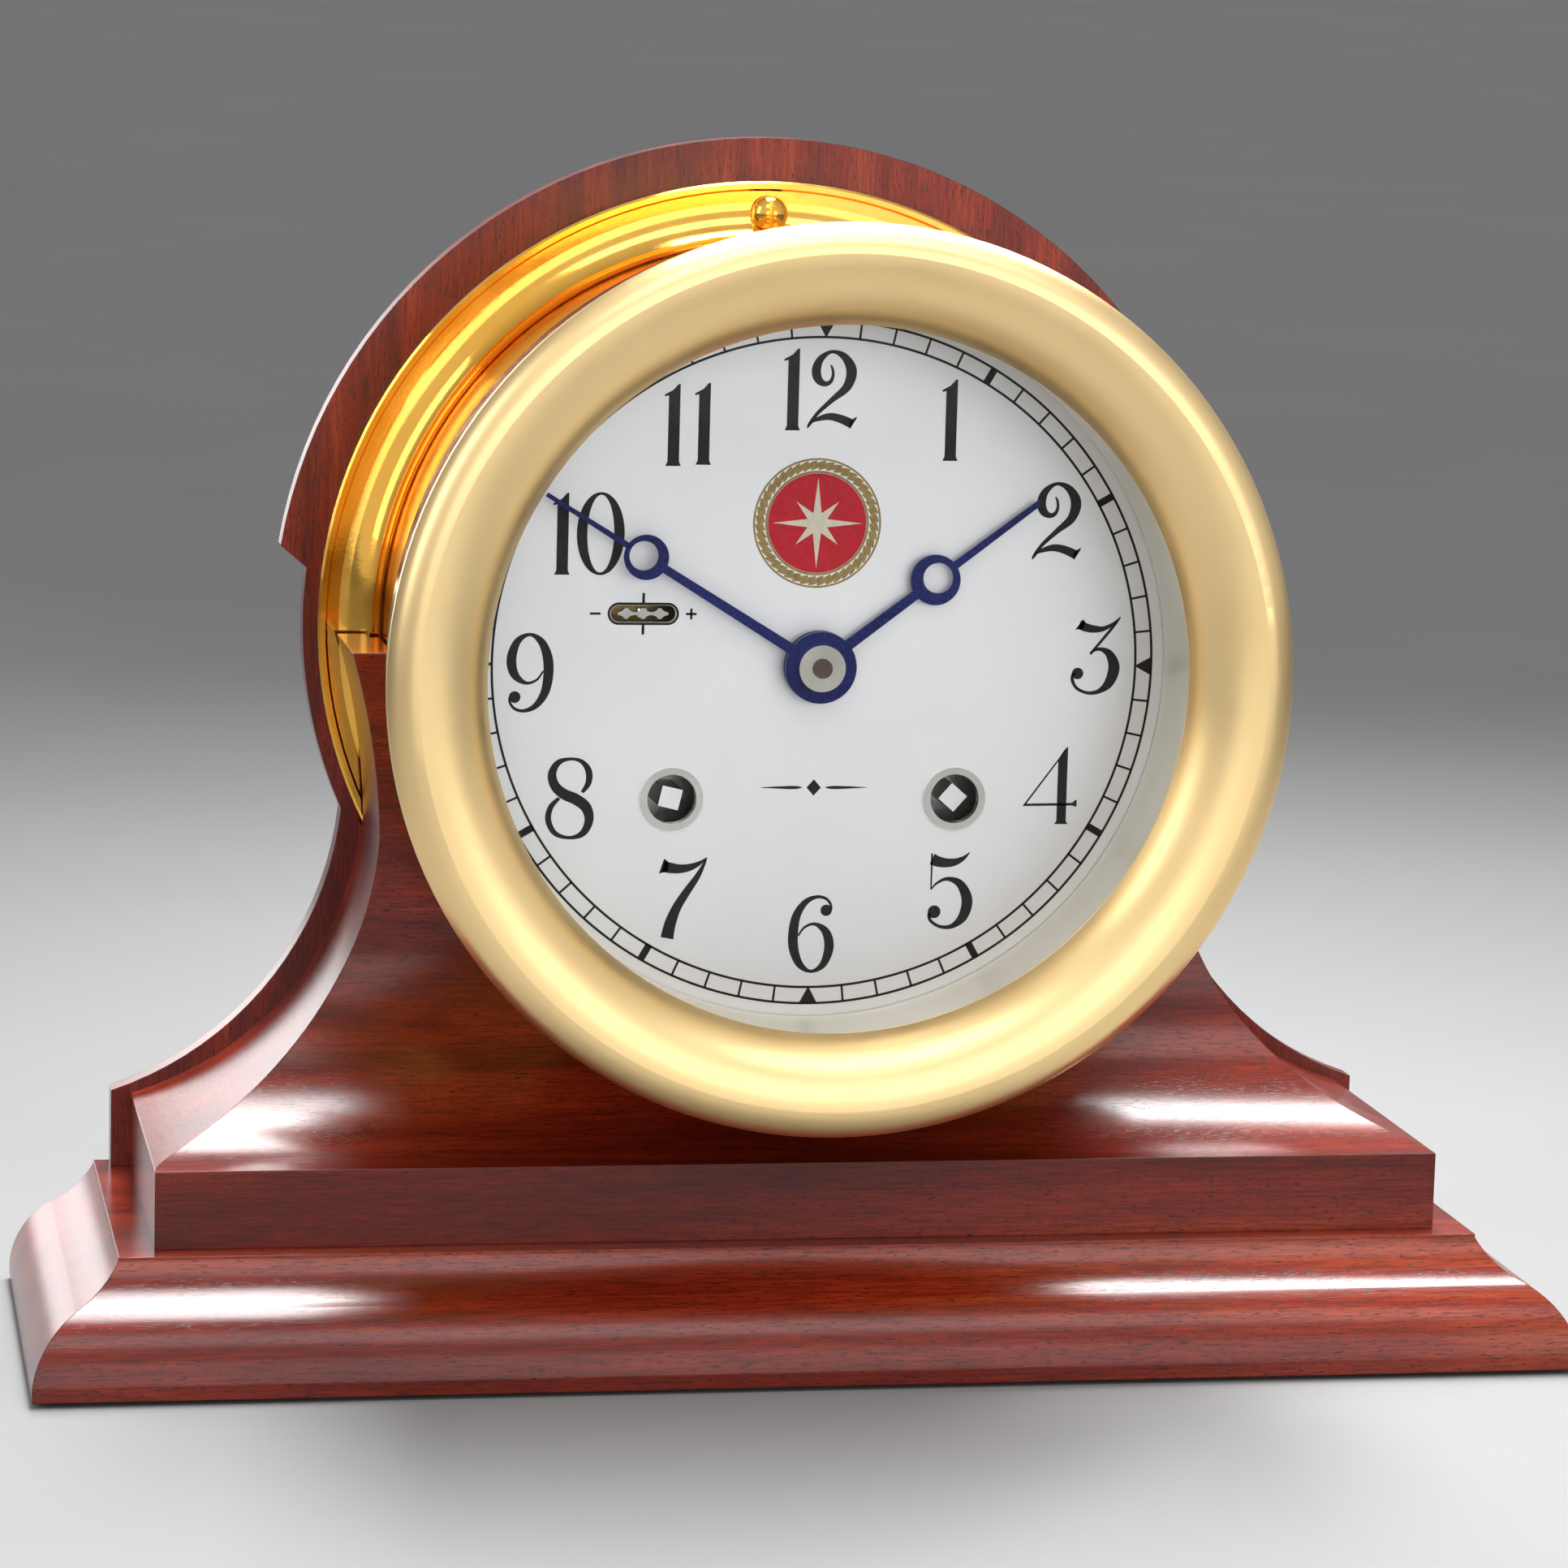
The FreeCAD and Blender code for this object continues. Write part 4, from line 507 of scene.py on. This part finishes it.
def figure_8(ink, x, z):
    loop = [(2.5, 1.45, 0.34), (3.75, 3.4, 0.62), (3.75, 5.9, 0.68), (2.3, 7.8, 0.45), (0.0, 8.35, 0.3),
            (-2.5, 7.6, 0.6), (-3.75, 5.3, 0.86), (-3.1, 2.8, 1.0), (-1.2, 1.1, 1.1), (1.3, 0.0, 1.15),
            (3.4, -1.7, 1.1), (4.05, -4.3, 0.92), (2.8, -7.0, 0.68), (0.1, -7.9, 0.34), (-2.9, -7.0, 0.52),
            (-4.35, -4.3, 0.62), (-3.9, -1.6, 0.56), (-2.2, 0.3, 0.34)]
    ink.stroke(moved_path(loop, x, z))


def figure_9(ink, x, z):
    figure_6(ink, x, z, -1.0)


# Each hour's figures, with the place of each on the dial in millimetres.
HOURS = {
    1: ((figure_1, 26.5, 50.2),),
    2: ((figure_2, 49.9, 30.0),),
    3: ((figure_3, 58.7, 1.7),),
    4: ((figure_4, 50.2, -25.4),),
    5: ((figure_5, 29.3, -47.2),),
    6: ((figure_6, 0.5, -56.2),),
    7: ((figure_7, -26.9, -48.6),),
    8: ((figure_8, -50.6, -27.8),),
    9: ((figure_9, -59.5, -1.6),),
    10: ((figure_1, -53.2, 26.3), (figure_0, -45.4, 26.7)),
    11: ((figure_1, -30.9, 48.6), (figure_1, -24.7, 48.9)),
    12: ((figure_1, -6.5, 56.1), (figure_2, 2.0, 56.5)),
}

# ---------------------------------------------------------------- printed dial

TRACK_INNER = 66.9
TRACK_OUTER = 70.3
TRACK_LINE = 0.5
TRACK_GAP = 0.2
TRACK_SIDES = 360
TICK_HALF = 0.23
BAR_HALF = 0.75
TRIANGLE_HALF = 1.9
TRIANGLE_TIP_HALF = 0.12
TRIANGLE_TIP_GAP = 0.3
SLOT_X, SLOT_Z = -36.3, 10.4
SLOT_HALF_LENGTH = 6.8
SLOT_HALF_WIDTH = 1.75
SLOT_LINE_INNER = 0.05
SLOT_LINE_OUTER = 0.55
MARK_GAP = 0.4
MARK_END = 2.5
MARK_HALF = 0.28
SIGN_DISTANCE = 9.9
SIGN_HALF_LENGTH = 1.1
SIGN_HALF_WIDTH = 0.24
EMBLEM_X, EMBLEM_Z = -0.8, 29.2
BADGE_SIDES = 120
FIELD_RADIUS = 10.2
ROPE_LINES = ((10.75, 10.25), (13.3, 12.9))
STRANDS = 44
STRAND_STEPS = 4
STRAND_TWIST = 0.26
STRAND_START = 11.0
STRAND_REACH = 1.7
STRAND_TIP_HALF = 0.08
STRAND_SWELL = 0.42
STRAND_TAPER = 0.4
STAR_LONG, STAR_SHORT, STAR_WAIST = 9.3, 6.2, 2.2
STAR_LIFT = 0.8 * PRINT_THICKNESS
ORNAMENT_Z = -25.4
ORNAMENT_DASH = ((2.4, 0.05), (4.5, 0.34), (11.0, 0.05))
DIAMOND_HALF_WIDTH = 1.5
DIAMOND_HALF_HEIGHT = 1.7


def spoke(ink, angle, inner, outer, half_in, half_out):
    """Add a bar on a radius of the dial, angle in degrees clockwise from twelve."""
    turn = math.radians(angle)
    ux, uz = math.sin(turn), math.cos(turn)
    corners = ((inner, -half_in), (outer, -half_out), (outer, half_out), (inner, half_in))
    ink.polygon([(r * ux + side * uz, r * uz - side * ux) for r, side in corners])


def print_numerals(black):
    ink = Print()
    for figures in HOURS.values():
        for draw, x, z in figures:
            draw(ink, x, z)
    ink.build("dial_numerals", black, "base")


def print_track(black):
    ink = Print()
    for radius in (TRACK_INNER, TRACK_OUTER):
        outer = radius + TRACK_LINE
        ink.ring(circle(0, 0, outer, outer, TRACK_SIDES), circle(0, 0, radius, radius, TRACK_SIDES))
    inner = TRACK_INNER + TRACK_GAP
    outer = TRACK_OUTER + TRACK_GAP
    for minute in range(60):
        angle = 6 * minute
        if minute % 15 == 0:
            spoke(ink, angle, TRACK_INNER + TRIANGLE_TIP_GAP, outer, TRIANGLE_TIP_HALF, TRIANGLE_HALF)
        elif minute % 5 == 0:
            spoke(ink, angle, inner, outer, BAR_HALF, BAR_HALF)
        else:
            spoke(ink, angle, inner, outer, TICK_HALF, TICK_HALF)
    ink.build("dial_minute_track", black, "base")


def obround(x, z, half_length, radius, count=48):
    """Closed outline of a bar with half-round ends, lying level."""
    points = []
    for i in range(count):
        turn = 2 * math.pi * (i + 0.5) / count
        side = math.copysign(half_length - radius, math.cos(turn))
        points.append((x + side + radius * math.cos(turn), z + radius * math.sin(turn)))
    return points


def oblong(x, z, half_width, half_height):
    return [(x - half_width, z - half_height), (x + half_width, z - half_height),
            (x + half_width, z + half_height), (x - half_width, z + half_height)]


def slot_outline(grown):
    return obround(SLOT_X, SLOT_Z, SLOT_HALF_LENGTH + grown, SLOT_HALF_WIDTH + grown)


def print_slot_marks(black):
    """The regulator slot's outline, its middle marks, and a minus and a plus at its ends."""
    ink = Print()
    ink.ring(slot_outline(SLOT_LINE_OUTER), slot_outline(SLOT_LINE_INNER))
    mark_middle = SLOT_HALF_WIDTH + (MARK_GAP + MARK_END) / 2
    for up in (1, -1):
        ink.polygon(oblong(SLOT_X, SLOT_Z + up * mark_middle, MARK_HALF, (MARK_END - MARK_GAP) / 2))
    for side in (-1, 1):
        ink.polygon(oblong(SLOT_X + side * SIGN_DISTANCE, SLOT_Z, SIGN_HALF_LENGTH, SIGN_HALF_WIDTH))
    ink.polygon(oblong(SLOT_X + SIGN_DISTANCE, SLOT_Z, SIGN_HALF_WIDTH, SIGN_HALF_LENGTH))
    ink.build("dial_rate_marks", black, "base")


def star(x, z, long, short, waist, points=8):
    """Outline of a compass star: long points at the quarters, short ones between."""
    outline = []
    for i in range(2 * points):
        radius = waist if i % 2 else (long if i % 4 == 0 else short)
        turn = math.pi * i / points
        outline.append((x + radius * math.sin(turn), z + radius * math.cos(turn)))
    return outline[::-1]


def print_badge(red, gold):
    """The round badge's red field and the gold rope about it."""
    field = Print()
    field.disc(EMBLEM_X, EMBLEM_Z, FIELD_RADIUS, BADGE_SIDES)
    field.build("dial_badge_field", red, "base")
    rope = Print()
    for outer, inner in ROPE_LINES:
        rope.ring(circle(EMBLEM_X, EMBLEM_Z, outer, outer, BADGE_SIDES),
                  circle(EMBLEM_X, EMBLEM_Z, inner, inner, BADGE_SIDES))
    for i in range(STRANDS):
        path = []
        for k in range(STRAND_STEPS + 1):
            turn = 2 * math.pi * i / STRANDS + STRAND_TWIST * k / STRAND_STEPS
            radius = STRAND_START + STRAND_REACH * k / STRAND_STEPS
            swell = math.sin(math.pi * (k + STRAND_TAPER) / (STRAND_STEPS + 2 * STRAND_TAPER))
            width = STRAND_SWELL * swell + STRAND_TIP_HALF
            path.append((EMBLEM_X + radius * math.sin(turn), EMBLEM_Z + radius * math.cos(turn), width))
        rope.stroke(path, 3)
    rope.build("dial_badge_rope", gold, "base")


def print_star(cream):
    """The badge's star, lifted so that it lies over the red field."""
    ink = Print()
    ink.polygon(star(EMBLEM_X, EMBLEM_Z, STAR_LONG, STAR_SHORT, STAR_WAIST))
    piece = ink.build("dial_badge_star", cream, "base")
    piece.data.transform(Matrix.Translation((0, -STAR_LIFT, 0)))


def print_ornament(black):
    """A small diamond between two tapered dashes, below the centre."""
    ink = Print()
    for side in (1, -1):
        path = [(side * out, ORNAMENT_Z, width) for out, width in ORNAMENT_DASH]
        ink.stroke(path if side > 0 else path[::-1], 8)
    ink.polygon([(0, ORNAMENT_Z + DIAMOND_HALF_HEIGHT), (-DIAMOND_HALF_WIDTH, ORNAMENT_Z),
                 (0, ORNAMENT_Z - DIAMOND_HALF_HEIGHT), (DIAMOND_HALF_WIDTH, ORNAMENT_Z)])
    ink.build("dial_ornament", black, "base")


def print_all():
    black = enamel("black_enamel", (0.006, 0.0055, 0.006), (0.014, 0.012, 0.012))
    red = enamel("red_enamel", (0.46, 0.008, 0.020), (0.56, 0.014, 0.030))
    gold = enamel("gold_enamel", (0.27, 0.18, 0.055), (0.38, 0.27, 0.10))
    cream = enamel("cream_enamel", (0.62, 0.57, 0.45), (0.72, 0.67, 0.55))
    print_numerals(black)
    print_track(black)
    print_slot_marks(black)
    print_badge(red, gold)
    print_star(cream)
    print_ornament(black)


# ---------------------------------------------------------------- stage, light and camera

CAMERA_PLACE = Vector((-0.20813, -1.08383, 0.28356))
CAMERA_YAW = 10.75
CAMERA_PITCH = 8.58
CAMERA_ROLL = 1.55
CAMERA_LENS = 122.35
SENSOR = 36.0
FLOOR_HALF = 60.0
FLOOR_BEND = 2.0
FLOOR_RISE = 3.0
WORLD_BEHIND = (0.40, 0.40, 0.41, 1.0)
WORLD_BEFORE = (0.92, 0.92, 0.93, 1.0)
WORLD_STRENGTH = 0.90


def add_camera():
    data = bpy.data.cameras.new("camera")
    data.lens = CAMERA_LENS
    data.sensor_width = SENSOR
    data.sensor_fit = "HORIZONTAL"
    data.clip_start = 0.01
    camera = bpy.data.objects.new("camera", data)
    bpy.context.scene.collection.objects.link(camera)
    turn = (Matrix.Rotation(math.radians(-CAMERA_YAW), 4, "Z")
            @ Matrix.Rotation(math.radians(90 - CAMERA_PITCH), 4, "X")
            @ Matrix.Rotation(math.radians(CAMERA_ROLL), 4, "Z"))
    camera.matrix_world = Matrix.Translation(CAMERA_PLACE) @ turn
    bpy.context.scene.camera = camera


def add_softbox(name, place, target, size, power, spread=180.0):
    """Area light aimed at target, with power in watts and spread in degrees."""
    data = bpy.data.lights.new(name, "AREA")
    data.shape = "RECTANGLE"
    data.size, data.size_y = size
    data.energy = power
    data.spread = math.radians(spread)
    light = bpy.data.objects.new(name, data)
    bpy.context.scene.collection.objects.link(light)
    aim = Vector(target) - Vector(place)
    turn = aim.to_track_quat("-Z", "Y").to_matrix().to_4x4()
    light.matrix_world = Matrix.Translation(Vector(place)) @ turn


def add_floor():
    """Plain floor that rises gently well behind the clock, so the main view shows no horizon."""
    mesh = bpy.data.meshes.new("floor")
    half = FLOOR_HALF
    points = [(-half, -half, 0), (half, -half, 0), (half, FLOOR_BEND, 0), (-half, FLOOR_BEND, 0),
              (half, half, FLOOR_RISE), (-half, half, FLOOR_RISE)]
    mesh.from_pydata(points, [], [(0, 1, 2, 3), (3, 2, 4, 5)])
    floor = bpy.data.objects.new("floor", mesh)
    bpy.context.scene.collection.objects.link(floor)
    nodes = Nodes("pale_floor")
    cloud = nodes.noise(nodes.stretched(EVEN), 4.0, 3.0)
    nodes.link(nodes.ramp(cloud, ((0.3, (0.235, 0.235, 0.237)), (0.7, (0.25, 0.25, 0.252)))),
               nodes.shader.inputs["Base Color"])
    nodes.set(roughness=0.7)
    mesh.materials.append(nodes.material)


def add_world():
    """Studio light all round, grey behind the clock and nearly white before it."""
    world = bpy.data.worlds.new("studio")
    bpy.context.scene.world = world
    world.use_nodes = True
    tree = world.node_tree
    background = tree.nodes["Background"]
    place = tree.nodes.new("ShaderNodeTexCoord")
    split = tree.nodes.new("ShaderNodeSeparateXYZ")
    tree.links.new(place.outputs["Generated"], split.inputs["Vector"])
    depth = tree.nodes.new("ShaderNodeMapRange")
    depth.inputs["From Min"].default_value = 1.0
    depth.inputs["From Max"].default_value = -1.0
    tree.links.new(split.outputs["Y"], depth.inputs["Value"])
    ramp = tree.nodes.new("ShaderNodeValToRGB")
    ramp.color_ramp.elements[0].position = 0.25
    ramp.color_ramp.elements[0].color = WORLD_BEHIND
    ramp.color_ramp.elements[1].position = 0.80
    ramp.color_ramp.elements[1].color = WORLD_BEFORE
    tree.links.new(depth.outputs["Result"], ramp.inputs["Fac"])
    tree.links.new(ramp.outputs["Color"], background.inputs["Color"])
    background.inputs["Strength"].default_value = WORLD_STRENGTH


def add_lights():
    """Two narrow boxes behind draw the highlights on the mouldings, and the rest fill."""
    middle = (0.0, -0.05, 0.12)
    add_softbox("back_left", (0.04, 0.45, 1.30), (0.0, -0.05, 0.06), (0.30, 1.3), 5.5, 60.0)
    add_softbox("back_right", (0.47, 0.45, 1.30), (0.1, -0.05, 0.06), (0.22, 1.3), 3.2, 60.0)
    add_softbox("overhead", (0.1, -0.85, 1.35), middle, (1.2, 0.5), 5.0)
    add_softbox("front_fill", (0.3, -1.6, 0.45), middle, (2.2, 0.8), 6.5)
    add_softbox("side", (-1.3, -0.35, 0.75), middle, (0.5, 0.9), 3.0)
    add_softbox("rear_left", (-0.62, 1.5, 0.34), (-0.12, -0.05, 0.05), (0.8, 0.6), 0.5, 60.0)


dress_all()
print_all()
add_floor()
add_world()
add_lights()
add_camera()
bpy.context.scene.view_settings.view_transform = "Standard"
